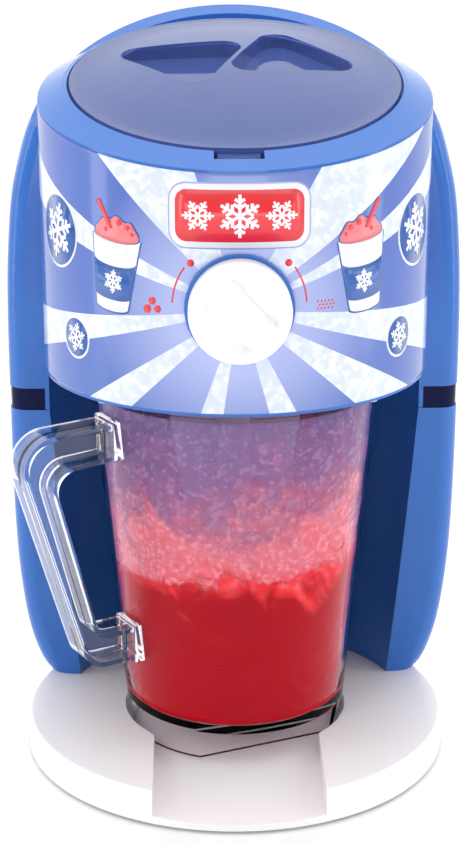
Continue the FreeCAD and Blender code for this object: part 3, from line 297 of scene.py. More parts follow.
@dataclass(frozen=True)
class Clear:
    """See-through plastic with faint handling marks."""

    name: str
    colour: Colour
    roughness: float = 0.03
    transmission: float = 1.0
    ior: float = 1.46
    haze: float = 0.05

    def make(self) -> bpy.types.Material:
        """Build the material and return it."""
        material, g, shader, place = start_material(self.name)
        grain = use(g, grain_group(), {"Vector": place, "Scale": 260.0, "Roughness": self.roughness,
                                       "Variation": self.haze})
        worn = use(g, wear_group(), {"Vector": place, "Amount": 0.15}).outputs[0]
        g.feed(shader.inputs["Base Color"], g.mix(worn, self.colour, (0.95, 0.95, 0.97)))
        g.feed(shader.inputs["Roughness"], g.math("MAXIMUM", grain.outputs["Roughness"], 0.0))
        bump = g.add("ShaderNodeBump", {"Strength": 0.02, "Distance": 0.0004,
                                        "Height": grain.outputs["Height"]})
        g.feed(shader.inputs["Normal"], bump.outputs[0])
        shaded = g.add("ShaderNodeLightPath").outputs["Is Shadow Ray"]
        g.feed(shader.inputs["Alpha"], g.math("SUBTRACT", 1.0, g.math("MULTIPLY", shaded, 0.8)))
        shader.inputs["Transmission Weight"].default_value = self.transmission
        shader.inputs["IOR"].default_value = self.ior
        return material


class Lay(Enum):
    """Which way a metal's machining marks run."""

    TURNED = (1.0, 1.0, 60.0)
    BRUSHED = (60.0, 1.0, 1.0)
    CAST = (1.0, 1.0, 1.0)


@dataclass(frozen=True)
class Metal:
    """Bare metal with machining marks."""

    name: str
    colour: Colour
    roughness: float = 0.28
    lay: Lay = Lay.BRUSHED

    def make(self) -> bpy.types.Material:
        """Build the material and return it."""
        material, g, shader, place = start_material(self.name)
        stretched = g.add("ShaderNodeMapping", {"Vector": place, "Scale": self.lay.value})
        lines = g.add("ShaderNodeTexNoise", {"Vector": stretched.outputs[0], "Scale": 60.0, "Detail": 6.0})
        worn = use(g, wear_group(), {"Vector": place, "Amount": 0.5}).outputs[0]
        tone = g.mix(lines.outputs[0], tuple(c * 0.82 for c in self.colour), self.colour)
        g.feed(shader.inputs["Base Color"], g.mix(worn, tone, (0.85, 0.85, 0.84)))
        swing = g.math("MULTIPLY", g.math("SUBTRACT", lines.outputs[0], 0.5), 0.25)
        g.feed(shader.inputs["Roughness"], g.math("ADD", swing, self.roughness))
        bump = g.add("ShaderNodeBump", {"Strength": 0.12, "Distance": 0.0002, "Height": lines.outputs[0]})
        g.feed(shader.inputs["Normal"], bump.outputs[0])
        shader.inputs["Metallic"].default_value = 1.0
        return material


@dataclass(frozen=True)
class PrintedFilm:
    """Glossy film printed with a burst of frosted rays round the knob."""

    name: str = "printed_film_finish"
    ground: Colour = (0.080, 0.155, 0.51)
    pale: Colour = (0.46, 0.52, 0.85)
    ice: Colour = (0.74, 0.79, 0.91)
    # first and last angle of every pale ray, anticlockwise from the right, in degrees
    rays: tuple[tuple[float, float], ...] = ((17, 25), (33, 58), (107, 136), (156, 164), (186, 195),
                                             (212, 223), (249, 261), (285, 297), (319, 333), (343, 353))

    def make(self) -> bpy.types.Material:
        """Build the material and return it."""
        material, g, shader, place = start_material(self.name)
        flat = g.add("ShaderNodeUVMap", uv_map="print").outputs[0]
        axes = g.add("ShaderNodeSeparateXYZ", {0: flat}).outputs
        angle = g.math("DIVIDE", g.math("ARCTAN2", axes[1], axes[0]), 2.0 * math.pi)
        turn = g.math("FRACT", g.math("ADD", angle, 1.0))
        stops = [(0.0, (0.0, 0.0, 0.0))]
        for first, last in self.rays:
            stops.append((first / 360.0, (1.0, 1.0, 1.0)))
            stops.append((last / 360.0, (0.0, 0.0, 0.0)))
        ray = g.ramp(turn, stops, "CONSTANT")
        reach = g.add("ShaderNodeVectorMath", {0: flat}, operation="LENGTH").outputs["Value"]
        away = g.add("ShaderNodeMapRange", {0: reach, 1: 0.28, 2: 0.85}, clamp=True).outputs[0]
        ground = g.mix(away, self.pale, self.ground)
        flecks = use(g, crystal_group(), {"Vector": flat, "Scale": 34.0}).outputs[0]
        frost = g.ramp(flecks, [(0.25, (0.66, 0.73, 0.90)), (0.5, self.ice), (0.75, (0.83, 0.86, 0.94))])
        g.feed(shader.inputs["Base Color"], g.mix(ray, ground, frost))
        grain = use(g, grain_group(), {"Vector": place, "Scale": 500.0, "Roughness": 0.16})
        g.feed(shader.inputs["Roughness"], grain.outputs["Roughness"])
        bump = g.add("ShaderNodeBump", {"Strength": 0.03, "Distance": 0.0003,
                                        "Height": grain.outputs["Height"]})
        g.feed(shader.inputs["Normal"], bump.outputs[0])
        shader.inputs["Coat Weight"].default_value = 0.3
        shader.inputs["Coat Roughness"].default_value = 0.05
        return material


@dataclass(frozen=True)
class CrushedIce:
    """Wet red slush: deep and even below, pale and frothy towards its surface."""

    name: str = "crushed_ice_finish"
    deep: Colour = (0.44, 0.002, 0.010)
    bright: Colour = (0.86, 0.010, 0.020)
    froth: Colour = (0.95, 0.15, 0.17)
    low: float = 0.112
    high: float = 0.150

    def make(self) -> bpy.types.Material:
        """Build the material and return it."""
        material, g, shader, place = start_material(self.name)
        height = g.add("ShaderNodeSeparateXYZ", {0: place}).outputs[2]
        lumps = g.add("ShaderNodeTexNoise", {"Vector": place, "Scale": 42.0, "Detail": 6.0,
                                             "Distortion": 1.2})
        swing = g.math("MULTIPLY", g.math("SUBTRACT", lumps.outputs[0], 0.5), 0.075)
        level = g.math("ADD", height, swing)
        share = g.add("ShaderNodeMapRange", {0: level, 1: self.low, 2: self.high}, clamp=True).outputs[0]
        cells = use(g, crystal_group(), {"Vector": place, "Scale": 240.0})
        tone = g.ramp(share, [(0.0, self.deep), (0.35, self.bright), (0.75, (0.92, 0.07, 0.08)),
                              (1.0, self.froth)])
        fleck = g.math("MULTIPLY", cells.outputs["Mask"], g.math("MULTIPLY", share, 0.45))
        g.feed(shader.inputs["Base Color"], g.mix(fleck, tone, (0.98, 0.55, 0.52)))
        g.feed(shader.inputs["Roughness"], g.math("ADD", g.math("MULTIPLY", lumps.outputs[0], 0.25), 0.12))
        relief = g.math("MULTIPLY", cells.outputs["Height"], share)
        bump = g.add("ShaderNodeBump", {"Strength": 0.6, "Distance": 0.002, "Height": relief})
        g.feed(shader.inputs["Normal"], bump.outputs[0])
        shader.inputs["Subsurface Weight"].default_value = 0.45
        shader.inputs["Subsurface Radius"].default_value = (1.0, 0.25, 0.2)
        shader.inputs["Subsurface Scale"].default_value = 0.008
        shader.inputs["Specular IOR Level"].default_value = 0.05
        return material


@dataclass(frozen=True)
class FrostMist:
    """Thin film of frost and melt left on the jug's wall, dense low down and fading upwards."""

    name: str = "frost_mist_finish"
    low: float = 0.120
    high: float = 0.222

    def make(self) -> bpy.types.Material:
        """Build the material and return it."""
        material, g, shader, place = start_material(self.name)
        axes = g.add("ShaderNodeSeparateXYZ", {0: place}).outputs
        cloud = g.add("ShaderNodeTexNoise", {"Vector": place, "Scale": 34.0, "Detail": 8.0,
                                             "Roughness": 0.65, "Distortion": 0.8})
        side = g.math("MULTIPLY", axes[0], -0.10)
        level = g.math("ADD", g.math("ADD", axes[2], side),
                       g.math("MULTIPLY", g.math("SUBTRACT", 0.5, cloud.outputs[0]), 0.12))
        share = g.add("ShaderNodeMapRange", {0: level, 1: self.low, 2: self.high}, clamp=True).outputs[0]
        tone = g.ramp(share, [(0.0, (0.86, 0.03, 0.05)), (0.14, (0.88, 0.10, 0.13)),
                              (0.34, (0.82, 0.15, 0.20)), (0.65, (0.42, 0.14, 0.40)),
                              (1.0, (0.27, 0.15, 0.46))])
        cells = use(g, crystal_group(), {"Vector": place, "Scale": 420.0})
        g.feed(shader.inputs["Base Color"], g.mix(g.math("MULTIPLY", cells.outputs["Mask"], 0.22), tone,
                                                  (0.92, 0.84, 0.92)))
        cover = g.ramp(share, [(stop, (amount,) * 3) for stop, amount in
                               ((0.0, 0.0), (0.06, 0.9), (0.32, 0.84), (0.50, 0.44), (1.0, 0.28))])
        speck = g.math("MULTIPLY", g.math("GREATER_THAN", cells.outputs["Mask"], 0.62), 0.12)
        g.feed(shader.inputs["Alpha"], g.math("ADD", cover, speck))
        bump = g.add("ShaderNodeBump", {"Strength": 0.2, "Distance": 0.001,
                                        "Height": cells.outputs["Height"]})
        g.feed(shader.inputs["Normal"], bump.outputs[0])
        g.feed(shader.inputs["Roughness"], g.math("ADD", g.math("MULTIPLY", cloud.outputs[0], 0.3), 0.15))
        return material


BLUE = (0.028, 0.150, 0.53)
FINISHES = {
    "white_plastic": Moulded("satin_white", (0.94, 0.94, 0.945), 0.32, 0.15, 700.0, 0.04, 0.0, 0.0, 0.015,
                             0.05),
    "blue_plastic": Moulded("gloss_blue", BLUE, 0.16, 0.12, 260.0, 0.02, 0.05, 0.0, 0.04, 0.0, 0.35),
    "navy_plastic": Moulded("gloss_navy", (0.0005, 0.003, 0.045), 0.12, 0.0, 260.0, 0.02, 0.02, 0.0, 0.08,
                            0.0, 0.08),
    "printed_film": PrintedFilm(),
    "smoky_plastic": Clear("smoky_clear", (0.12, 0.19, 0.50), 0.05, 0.62),
    "clear_plastic": Clear("clear_violet", (0.96, 0.94, 0.985), 0.02, 1.0, 1.13),
    "crushed_ice": CrushedIce(),
    "rubber": Moulded("soft_rubber", (0.03, 0.03, 0.032), 0.75, 0.0, 1500.0, 0.3, 0.3, 0.2),
    "steel": Metal("bright_steel", (0.62, 0.62, 0.64)),
    "motor_steel": Metal("plated_can", (0.48, 0.49, 0.52), 0.36, Lay.TURNED),
    "brass": Metal("turned_brass", (0.78, 0.58, 0.28), 0.25, Lay.TURNED),
    "grey_plastic": Moulded("pale_grey", (0.58, 0.59, 0.62), 0.45, 0.0, 1100.0, 0.12, 0.25, 0.08),
    "black_plastic": Moulded("moulded_black", (0.02, 0.02, 0.022), 0.5, 0.0, 1100.0, 0.12),
}
INKS = {
    "ink_red": Moulded("ink_red", (0.80, 0.018, 0.03), 0.2, 0.5, 900.0, 0.02, 0.0, 0.0, 0.04),
    "ink_white": Moulded("ink_white", (0.90, 0.91, 0.94), 0.2, 0.5, 900.0, 0.02, 0.0, 0.0, 0.02),
    "ink_blue": Moulded("ink_blue", (0.012, 0.10, 0.42), 0.2, 0.5, 900.0, 0.02, 0.0, 0.0, 0.04),
    "ink_lavender": Moulded("ink_lavender", (0.38, 0.44, 0.78), 0.2, 0.5, 900.0, 0.02, 0.0, 0.0, 0.04),
    "ink_pink": Moulded("ink_pink", (0.86, 0.20, 0.22), 0.2, 0.5, 900.0, 0.02, 0.0, 0.0, 0.06),
}


EXTRA = {
    "frost_mist": FrostMist(),
    "ice_chips": Clear("ice_chips_finish", (0.97, 0.80, 0.82), 0.08, 0.85, 1.31, 0.02),
    # The paddle's darker violet tint and low transmission are painted shade: they stand in for the shade that
    # falls on its fin.
    "smoked_paddle": Clear("paddle_painted_shade_finish", (0.60, 0.46, 0.64), 0.1, 0.35),
    "smoked_handle": Clear("smoked_handle_finish", (0.86, 0.86, 0.91), 0.02, 1.0),
}


@lru_cache
def finish(name: str) -> bpy.types.Material:
    """Material of a slot or an ink, built once."""
    return (FINISHES.get(name) or INKS.get(name) or EXTRA[name]).make()


# ---------------------------------------------------------------------------------------------------
# Geometry trees
# ---------------------------------------------------------------------------------------------------
@lru_cache
def even_shading_tree() -> bpy.types.NodeTree:
    """Join loose triangles and shade them smooth up to a sharp angle."""
    g = new_tree("GeometryNodeTree", "even_shading",
                 [("Geometry", GEOMETRY), ("Merge Distance", FLOAT, 0.00001), ("Sharp Angle", FLOAT, 0.6)],
                 [("Geometry", GEOMETRY)])
    given = g.add("NodeGroupInput").outputs
    merged = g.add("GeometryNodeMergeByDistance", {"Geometry": given["Geometry"],
                                                   "Distance": given["Merge Distance"]})
    faces = g.add("GeometryNodeSetShadeSmooth", {"Geometry": merged.outputs[0], "Shade Smooth": True},
                  domain="FACE")
    angle = g.add("GeometryNodeInputMeshEdgeAngle").outputs[0]
    blunt = g.add("FunctionNodeCompare", {0: angle, 1: given["Sharp Angle"]}, operation="LESS_THAN")
    edges = g.add("GeometryNodeSetShadeSmooth", {"Geometry": faces.outputs[0],
                                                 "Shade Smooth": blunt.outputs[0]}, domain="EDGE")
    g.add("NodeGroupOutput", {"Geometry": edges.outputs[0]})
    return g.tree


@lru_cache
def scatter_tree() -> bpy.types.NodeTree:
    """Scatter small chips or drops over a surface, thicker where its 'dense' attribute says."""
    g = new_tree("GeometryNodeTree", "scattered_ice",
                 [("Geometry", GEOMETRY), ("Density", FLOAT, 1e5), ("Size", FLOAT, 0.001),
                  ("Flatness", FLOAT, 0.6), ("Seed", "NodeSocketInt", 1), ("Finish", MATERIAL)],
                 [("Geometry", GEOMETRY)])
    given = g.add("NodeGroupInput").outputs
    dense = g.add("GeometryNodeInputNamedAttribute", {"Name": "dense"}, data_type="FLOAT").outputs[0]
    amount = g.math("MULTIPLY", dense, given["Density"])
    points = g.add("GeometryNodeDistributePointsOnFaces",
                   {"Mesh": given["Geometry"], "Density": amount, "Seed": given["Seed"]})
    chip = g.add("GeometryNodeMeshIcoSphere", {"Radius": 1.0, "Subdivisions": 1})
    size = g.add("FunctionNodeRandomValue", {2: 0.35, 3: 1.0, "Seed": given["Seed"]}, data_type="FLOAT")
    length = g.math("MULTIPLY", size.outputs[1], given["Size"])
    long = g.add("FunctionNodeRandomValue", {2: 0.8, 3: 1.7, "Seed": given["Seed"]}, data_type="FLOAT")
    scale = g.add("ShaderNodeCombineXYZ", {0: length, 1: g.math("MULTIPLY", length, long.outputs[1]),
                                           2: g.math("MULTIPLY", length, given["Flatness"])})
    spun = g.add("FunctionNodeRandomValue", {0: (0.0, 0.0, 0.0), 1: (0.5, 0.5, 6.3),
                                             "Seed": given["Seed"]}, data_type="FLOAT_VECTOR")
    turned = g.add("FunctionNodeRotateRotation",
                   {0: points.outputs["Rotation"]}, rotation_space="LOCAL")
    g.feed(turned.inputs[1], g.add("FunctionNodeEulerToRotation", {0: spun.outputs[0]}).outputs[0])
    placed = g.add("GeometryNodeInstanceOnPoints",
                   {"Points": points.outputs["Points"], "Instance": chip.outputs[0],
                    "Rotation": turned.outputs[0], "Scale": scale.outputs[0]})
    real = g.add("GeometryNodeRealizeInstances", {0: placed.outputs[0]})
    smooth = g.add("GeometryNodeSetShadeSmooth", {"Geometry": real.outputs[0], "Shade Smooth": True})
    dressed = g.add("GeometryNodeSetMaterial", {"Geometry": smooth.outputs[0], "Material": given["Finish"]})
    g.add("NodeGroupOutput", {"Geometry": dressed.outputs[0]})
    return g.tree


@lru_cache
def relief_tree() -> bpy.types.NodeTree:
    """Push the loose part of a surface into lumps and fine grit."""
    g = new_tree("GeometryNodeTree", "heaped_relief",
                 [("Geometry", GEOMETRY), ("Lump Scale", FLOAT, 60.0), ("Lump Height", FLOAT, 0.006),
                  ("Grit Scale", FLOAT, 420.0), ("Grit Height", FLOAT, 0.0012), ("Finish", MATERIAL)],
                 [("Geometry", GEOMETRY)])
    given = g.add("NodeGroupInput").outputs
    place = g.add("GeometryNodeInputPosition").outputs[0]
    loose = g.add("GeometryNodeInputNamedAttribute", {"Name": "dense"}, data_type="FLOAT").outputs[0]
    total = None
    for scale, height, detail in (("Lump Scale", "Lump Height", 3.0), ("Grit Scale", "Grit Height", 2.0)):
        wave = g.add("ShaderNodeTexNoise", {"Vector": place, "Scale": given[scale], "Detail": detail})
        lift = g.math("MULTIPLY", g.math("SUBTRACT", wave.outputs[0], 0.42), given[height])
        total = lift if total is None else g.math("ADD", total, lift)
    push = g.add("ShaderNodeCombineXYZ", {2: g.math("MULTIPLY", total, loose)})
    moved = g.add("GeometryNodeSetPosition", {"Geometry": given["Geometry"], "Offset": push.outputs[0]})
    smooth = g.add("GeometryNodeSetShadeSmooth", {"Geometry": moved.outputs[0], "Shade Smooth": True})
    real = g.add("GeometryNodeRealizeInstances", {0: smooth.outputs[0]})
    dressed = g.add("GeometryNodeSetMaterial", {"Geometry": real.outputs[0], "Material": given["Finish"]})
    g.add("NodeGroupOutput", {"Geometry": dressed.outputs[0]})
    return g.tree


@lru_cache
def snowflake_tree() -> bpy.types.NodeTree:
    """Flat six-armed snowflake in the XY plane, each arm with two pairs of side branches."""
    g = new_tree("GeometryNodeTree", "snowflake",
                 [("Geometry", GEOMETRY), ("Arm", FLOAT, 0.01), ("Width", FLOAT, 0.0012),
                  ("Finish", MATERIAL)],
                 [("Geometry", GEOMETRY)])
    given = g.add("NodeGroupInput").outputs

    def bar(length: bpy.types.NodeSocket, start: bpy.types.NodeSocket, angle: float) -> bpy.types.NodeSocket:
        """Flat bar that starts on the arm and leans away from it."""
        grid = g.add("GeometryNodeMeshGrid", {"Size X": given["Width"], "Size Y": length,
                                              "Vertices X": 2, "Vertices Y": 7})
        half = g.add("ShaderNodeCombineXYZ", {1: g.math("MULTIPLY", length, 0.5)})
        out = g.add("GeometryNodeTransform", {"Geometry": grid.outputs[0], "Translation": half.outputs[0]})
        base = g.add("ShaderNodeCombineXYZ", {1: start})
        return g.add("GeometryNodeTransform", {"Geometry": out.outputs[0], "Translation": base.outputs[0],
                                               "Rotation": (0.0, 0.0, angle)}).outputs[0]

    lean = math.radians(58.0)
    none = g.math("MULTIPLY", given["Arm"], 0.0)
    arm = g.add("GeometryNodeJoinGeometry")
    g.feed(arm.inputs[0], bar(given["Arm"], none, 0.0))
    for along, share in ((0.38, 0.34), (0.64, 0.27)):
        start = g.math("MULTIPLY", given["Arm"], along)
        length = g.math("MULTIPLY", given["Arm"], share)
        for side in (-lean, lean):
            g.feed(arm.inputs[0], bar(length, start, side))
    points = g.add("GeometryNodePoints", {"Count": 6})
    index = g.add("GeometryNodeInputIndex").outputs[0]
    turn = g.add("ShaderNodeCombineXYZ", {2: g.math("MULTIPLY", index, math.radians(60.0))})
    spin = g.add("FunctionNodeEulerToRotation", {0: turn.outputs[0]})
    placed = g.add("GeometryNodeInstanceOnPoints", {"Points": points.outputs[0], "Instance": arm.outputs[0],
                                                    "Rotation": spin.outputs[0]})
    real = g.add("GeometryNodeRealizeInstances", {0: placed.outputs[0]})
    dressed = g.add("GeometryNodeSetMaterial", {"Geometry": real.outputs[0], "Material": given["Finish"]})
    g.add("NodeGroupOutput", {"Geometry": dressed.outputs[0]})
    return g.tree


# ---------------------------------------------------------------------------------------------------
# Meshes
# ---------------------------------------------------------------------------------------------------
def make_object(name: str, points: Sequence, faces: Sequence, smooth: bool = True) -> bpy.types.Object:
    """Make an object at the origin from points in metres and faces."""
    mesh = bpy.data.meshes.new(name)
    mesh.from_pydata([tuple(p) for p in points], [], [tuple(f) for f in faces])
    mesh.validate()
    mesh.shade_smooth() if smooth else mesh.shade_flat()
    made = bpy.data.objects.new(name, mesh)
    bpy.context.scene.collection.objects.link(made)
    return made


def grown(source: bpy.types.Object, tree: bpy.types.NodeTree, values: dict, name: str) -> bpy.types.Object:
    """Run a geometry tree on an object and keep the result as a plain mesh.

    Args:
        source: Object that the tree starts from; it is removed.
        tree: The geometry tree.
        values: The tree's inputs by name.
        name: Name of the result.

    Returns:
        The new object.
    """
    modifier = source.modifiers.new("grow", "NODES")
    modifier.node_group = tree
    for item in tree.interface.items_tree:
        if item.in_out == "INPUT" and item.name in values:
            modifier[item.identifier] = values[item.name]
    bpy.context.view_layer.update()
    depsgraph = bpy.context.evaluated_depsgraph_get()
    mesh = bpy.data.meshes.new_from_object(source.evaluated_get(depsgraph), depsgraph=depsgraph)
    mesh.name = name
    bpy.data.objects.remove(source)
    made = bpy.data.objects.new(name, mesh)
    bpy.context.scene.collection.objects.link(made)
    mesh.materials.clear()
    mesh.materials.append(values["Finish"])
    return made


def ring_grid(rows: Sequence[np.ndarray], closed_ends: bool) -> tuple[list, list]:
    """Points and faces of a surface from rings of points with the same count.

    Args:
        rows: Rings in order; each has the same number of points.
        closed_ends: Close the first and the last ring with a fan to their middle.

    Returns:
        The points and the faces.
    """
    count = len(rows[0])
    points = [tuple(p) for row in rows for p in row]
    faces = []
    for r in range(len(rows) - 1):
        for i in range(count):
            j = (i + 1) % count
            faces.append((r * count + i, r * count + j, (r + 1) * count + j, (r + 1) * count + i))
    if closed_ends:
        for ring, flip in ((0, True), (len(rows) - 1, False)):
            middle = len(points)
            points.append(tuple(np.mean(rows[ring], axis=0)))
            for i in range(count):
                a, b = ring * count + i, ring * count + (i + 1) % count
                faces.append((middle, b, a) if flip else (middle, a, b))
    return points, faces


def circle_row(radius: object, z: object, angles: np.ndarray) -> np.ndarray:
    """One ring of points about the machine's axis."""
    return np.stack([radius * np.cos(angles), radius * np.sin(angles), z + 0.0 * angles], axis=1)


def set_attribute(piece: bpy.types.Object, name: str, values: Sequence[float]) -> None:
    """Store one number per point on a mesh."""
    attribute = piece.data.attributes.new(name, "FLOAT", "POINT")
    attribute.data.foreach_set("value", np.asarray(values, np.float32))


def smoothstep(low: float, high: float, value: np.ndarray) -> np.ndarray:
    """Soft step from 0 to 1 between two values."""
    t = np.clip((value - low) / (high - low), 0.0, 1.0)
    return t * t * (3.0 - 2.0 * t)


def mount(piece: bpy.types.Object, body: str, replaces: Sequence[str] = ()) -> None:
    """Ride a piece on its body and the nodes that it stands for, and report it."""
    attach(piece, body)
    if replaces:
        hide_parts(*replaces)
    LOG.info("%s on %s: %d faces", piece.name, body, len(piece.data.polygons))


# ---------------------------------------------------------------------------------------------------
# Sub-assemblies
# ---------------------------------------------------------------------------------------------------
@dataclass
class Frame:
    """The machine's own pieces: finishes and even shading on every node of the frame."""

    # The mixing paddle takes the finish with painted shade; the handle takes a pale smoky tint.
    special: dict[str, str] = field(default_factory=lambda: {
        "mixing_paddle": "smoked_paddle", "jug_handle": "smoked_handle"})
    sharp_angle: float = math.radians(32.0)

    def dress(self) -> None:
        """Give every node its finish and its shading."""
        slots = {row["node"]: row["material_slot"] for row in frame["record"]["subparts"]}
        for name, node in frame["nodes"].items():
            node.data.materials.clear()
            node.data.materials.append(finish(self.special.get(name, slots[name])))
            modifier = node.modifiers.new("even_shading", "NODES")
            modifier.node_group = even_shading_tree()
            for item in even_shading_tree().interface.items_tree:
                if item.name == "Sharp Angle":
                    modifier[item.identifier] = self.sharp_angle
            weighted = node.modifiers.new("weighted", "WEIGHTED_NORMAL")
            weighted.keep_sharp = True
            LOG.info("%s dressed", name)


@dataclass
class Label:
    """Printed film round the drum and the inks on it.

    Places on the film are in millimetres from the knob's centre: along the drum, then up.
    """

    cuts: tuple[int, int] = (300, 90)       # cuts round the film and up it
    half_angle: float = math.radians(97.0)  # how far the film goes round the drum on each side
    slope: float = 0.229            # of the film's top edge, front to back
    step: float = 3.0               # mm between cuts of a wrapped ink
    ink_lift: float = 0.06          # mm from one ink layer to the next
    badge: tuple[float, float] = (71.0, 31.0)
    badge_at: tuple[float, float] = (0.0, 48.0)
    cup_at: tuple[float, float] = (70.0, 15.0)
    cup_height: float = 38.0
    big_flake_at: tuple[float, float] = (118.0, 30.0)
    small_flake_at: tuple[float, float] = (101.0, -26.0)
    scale_radius: float = 35.5      # mm, the arcs' middle line
    dot_radius: float = 34.5
    dot_angle: float = math.radians(42.5)
    cup_lean: float = math.radians(5.0)
    parts: dict[str, list] = field(default_factory=dict)

    def __post_init__(self) -> None:
        """Read the drum's radius and the knob's centre from the frame."""
        low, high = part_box("label_film")
        knob_low, knob_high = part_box("knob")
        self.low, self.high = low, high
        self.radius = high.x
        self.centre_z = (knob_low.z + knob_high.z) / 2.0
        self.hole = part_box("knob_ring")[1].x

    def wrapped(self, u: float, v: float, lift: float) -> tuple[float, float, float]:
        """Point on the drum from a place on the flat print, in mm."""
        angle = u * MM / self.radius
        r = self.radius + lift * MM
        return r * math.sin(angle), -r * math.cos(angle), self.centre_z + v * MM

    def build_film(self) -> bpy.types.Object:
        """Film with its slanted top edge and the opening for the knob."""
        columns, rows = self.cuts
        half = self.half_angle
        front_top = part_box("drum_housing")[1].z
        back_y = -self.radius * math.cos(half)
        rim = self.high.z - self.slope * back_y
        points, uv, faces = [], [], []
        for i in range(columns + 1):
            angle = -half + 2.0 * half * i / columns
            y = -self.radius * math.cos(angle)
            top = min(rim + self.slope * y, front_top)
            for j in range(rows + 1):
                z = self.low.z + (top - self.low.z) * j / rows
                points.append([self.radius * math.sin(angle), y, z])
        for i in range(columns):
            for j in range(rows):
                a = i * (rows + 1) + j
                quad = (a, a + rows + 1, a + rows + 2, a + 1)
                middle = np.mean([points[k] for k in quad], axis=0)
                if middle[1] > 0 or math.hypot(middle[0], middle[2] - self.centre_z) > self.hole * 0.97:
                    faces.append(quad)
        film = make_object("label_print", points, faces)
        bm = bmesh.new()
        bm.from_mesh(film.data)
        bmesh.ops.delete(bm, geom=[v for v in bm.verts if not v.link_faces], context="VERTS")
        for vert in bm.verts:
            away = math.hypot(vert.co.x, vert.co.z - self.centre_z)
            if vert.is_boundary and vert.co.y < 0 and away < self.hole * 1.1:
                share = self.hole * 0.97 / away
                vert.co.x *= share
                vert.co.z = self.centre_z + (vert.co.z - self.centre_z) * share
                vert.co.y = -math.sqrt(self.radius ** 2 - vert.co.x ** 2)
        layer = bm.loops.layers.uv.new("print")
        for face in bm.faces:
            for loop in face.loops:
                place = loop.vert.co
                angle = math.atan2(place.x, -place.y)
                loop[layer].uv = (self.radius * angle * 10.0, (place.z - self.centre_z) * 10.0)
        bm.to_mesh(film.data)
        bm.free()
        solid = film.modifiers.new("thickness", "SOLIDIFY")
        solid.thickness = 0.38 * MM
        solid.offset = -1.0
        return film

    def ink(self, colour: str, outline: Outline, layer: int) -> None:
        """Add a flat shape to the print.

        Args:
            colour: Name of the ink.
            outline: Corners, in mm from the knob's centre.
            layer: Which layer it lies in, counted from the film.
        """
        bm = bmesh.new()
        bm.faces.new([bm.verts.new((u, v, 0.0)) for u, v in outline])
        reach = [u for u, _ in outline]
        cut = math.floor(min(reach) / self.step) * self.step
        while cut < max(reach):
            bmesh.ops.bisect_plane(bm, geom=bm.verts[:] + bm.edges[:] + bm.faces[:],
                                   plane_co=(cut, 0.0, 0.0), plane_no=(1.0, 0.0, 0.0))
            cut += self.step
        bmesh.ops.triangulate(bm, faces=bm.faces[:])
        bm.verts.index_update()
        flat = [(v.co.x, v.co.y) for v in bm.verts]
        faces = [[v.index for v in f.verts] for f in bm.faces]
        bm.free()
        self.add_flat(colour, flat, faces, layer)

    def add_flat(self, colour: str, flat: Sequence, faces: Sequence, layer: int) -> None:
        """Wrap flat points round the drum and keep them with their ink."""
        points, shapes = self.parts.setdefault(colour, [[], []])
        start = len(points)
        lift = self.ink_lift * layer
        points.extend(self.wrapped(u, v, lift) for u, v in flat)
        for face in faces:
            (ux, uy), (vx, vy), (wx, wy) = (flat[k] for k in face[:3])
            area = (vx - ux) * (wy - uy) - (vy - uy) * (wx - ux)
            order = face if area > 0 else face[::-1]
            shapes.append([start + k for k in order])

    def rounded(self, width: float, height: float, radius: float, at: tuple[float, float]) -> Outline:
        """Rectangle with rounded corners."""
        points = []
        for cx, cy, first in ((1, 1, 0), (-1, 1, 90), (-1, -1, 180), (1, -1, 270)):
            for step in range(9):
                a = math.radians(first + step * 90.0 / 8.0)
                points.append((at[0] + cx * (width / 2 - radius) + radius * math.cos(a),
                               at[1] + cy * (height / 2 - radius) + radius * math.sin(a)))
        return points

    def disc(self, radius: float, at: tuple[float, float], count: int = 40) -> Outline:
        """Round spot."""
        turn = 2.0 * math.pi / count
        return [(at[0] + radius * math.cos(turn * i), at[1] + radius * math.sin(turn * i))
                for i in range(count)]

    def flake(self, colour: str, arm: float, width: float, at: tuple[float, float], layer: int,
              turn: float = 0.0) -> None:
        """Snowflake grown by its geometry tree and wrapped on the drum."""
        seed = make_object("flake_seed", [(0, 0, 0), (1, 0, 0), (0, 1, 0)], [(0, 1, 2)])
        made = grown(seed, snowflake_tree(), {"Arm": arm, "Width": width, "Finish": finish(colour)}, "flake")
        c, s = math.cos(turn), math.sin(turn)
        flat = [(at[0] + v.co.x * c - v.co.y * s, at[1] + v.co.x * s + v.co.y * c)
                for v in made.data.vertices]
        faces = [list(p.vertices) for p in made.data.polygons]
        bpy.data.objects.remove(made)
        self.add_flat(colour, flat, faces, layer)

    def build_badge(self) -> None:
        """Plain badge over the knob with three snowflakes."""
        width, height = self.badge
        self.ink("ink_lavender", self.rounded(width + 3.4, height + 3.4, 9.2, self.badge_at), 1)
        self.ink("ink_white", self.rounded(width + 1.8, height + 1.8, 8.4, self.badge_at), 2)
        self.ink("ink_red", self.rounded(width - 4.0, height - 4.0, 6.0, self.badge_at), 3)
        for share, arm in ((-1.0, 8.4), (0.0, 11.2), (1.0, 8.4)):
            at = (self.badge_at[0] + share * 21.5, self.badge_at[1])
            self.flake("ink_white", arm, arm * 0.15, at, 4, math.radians(30.0 * abs(share)))

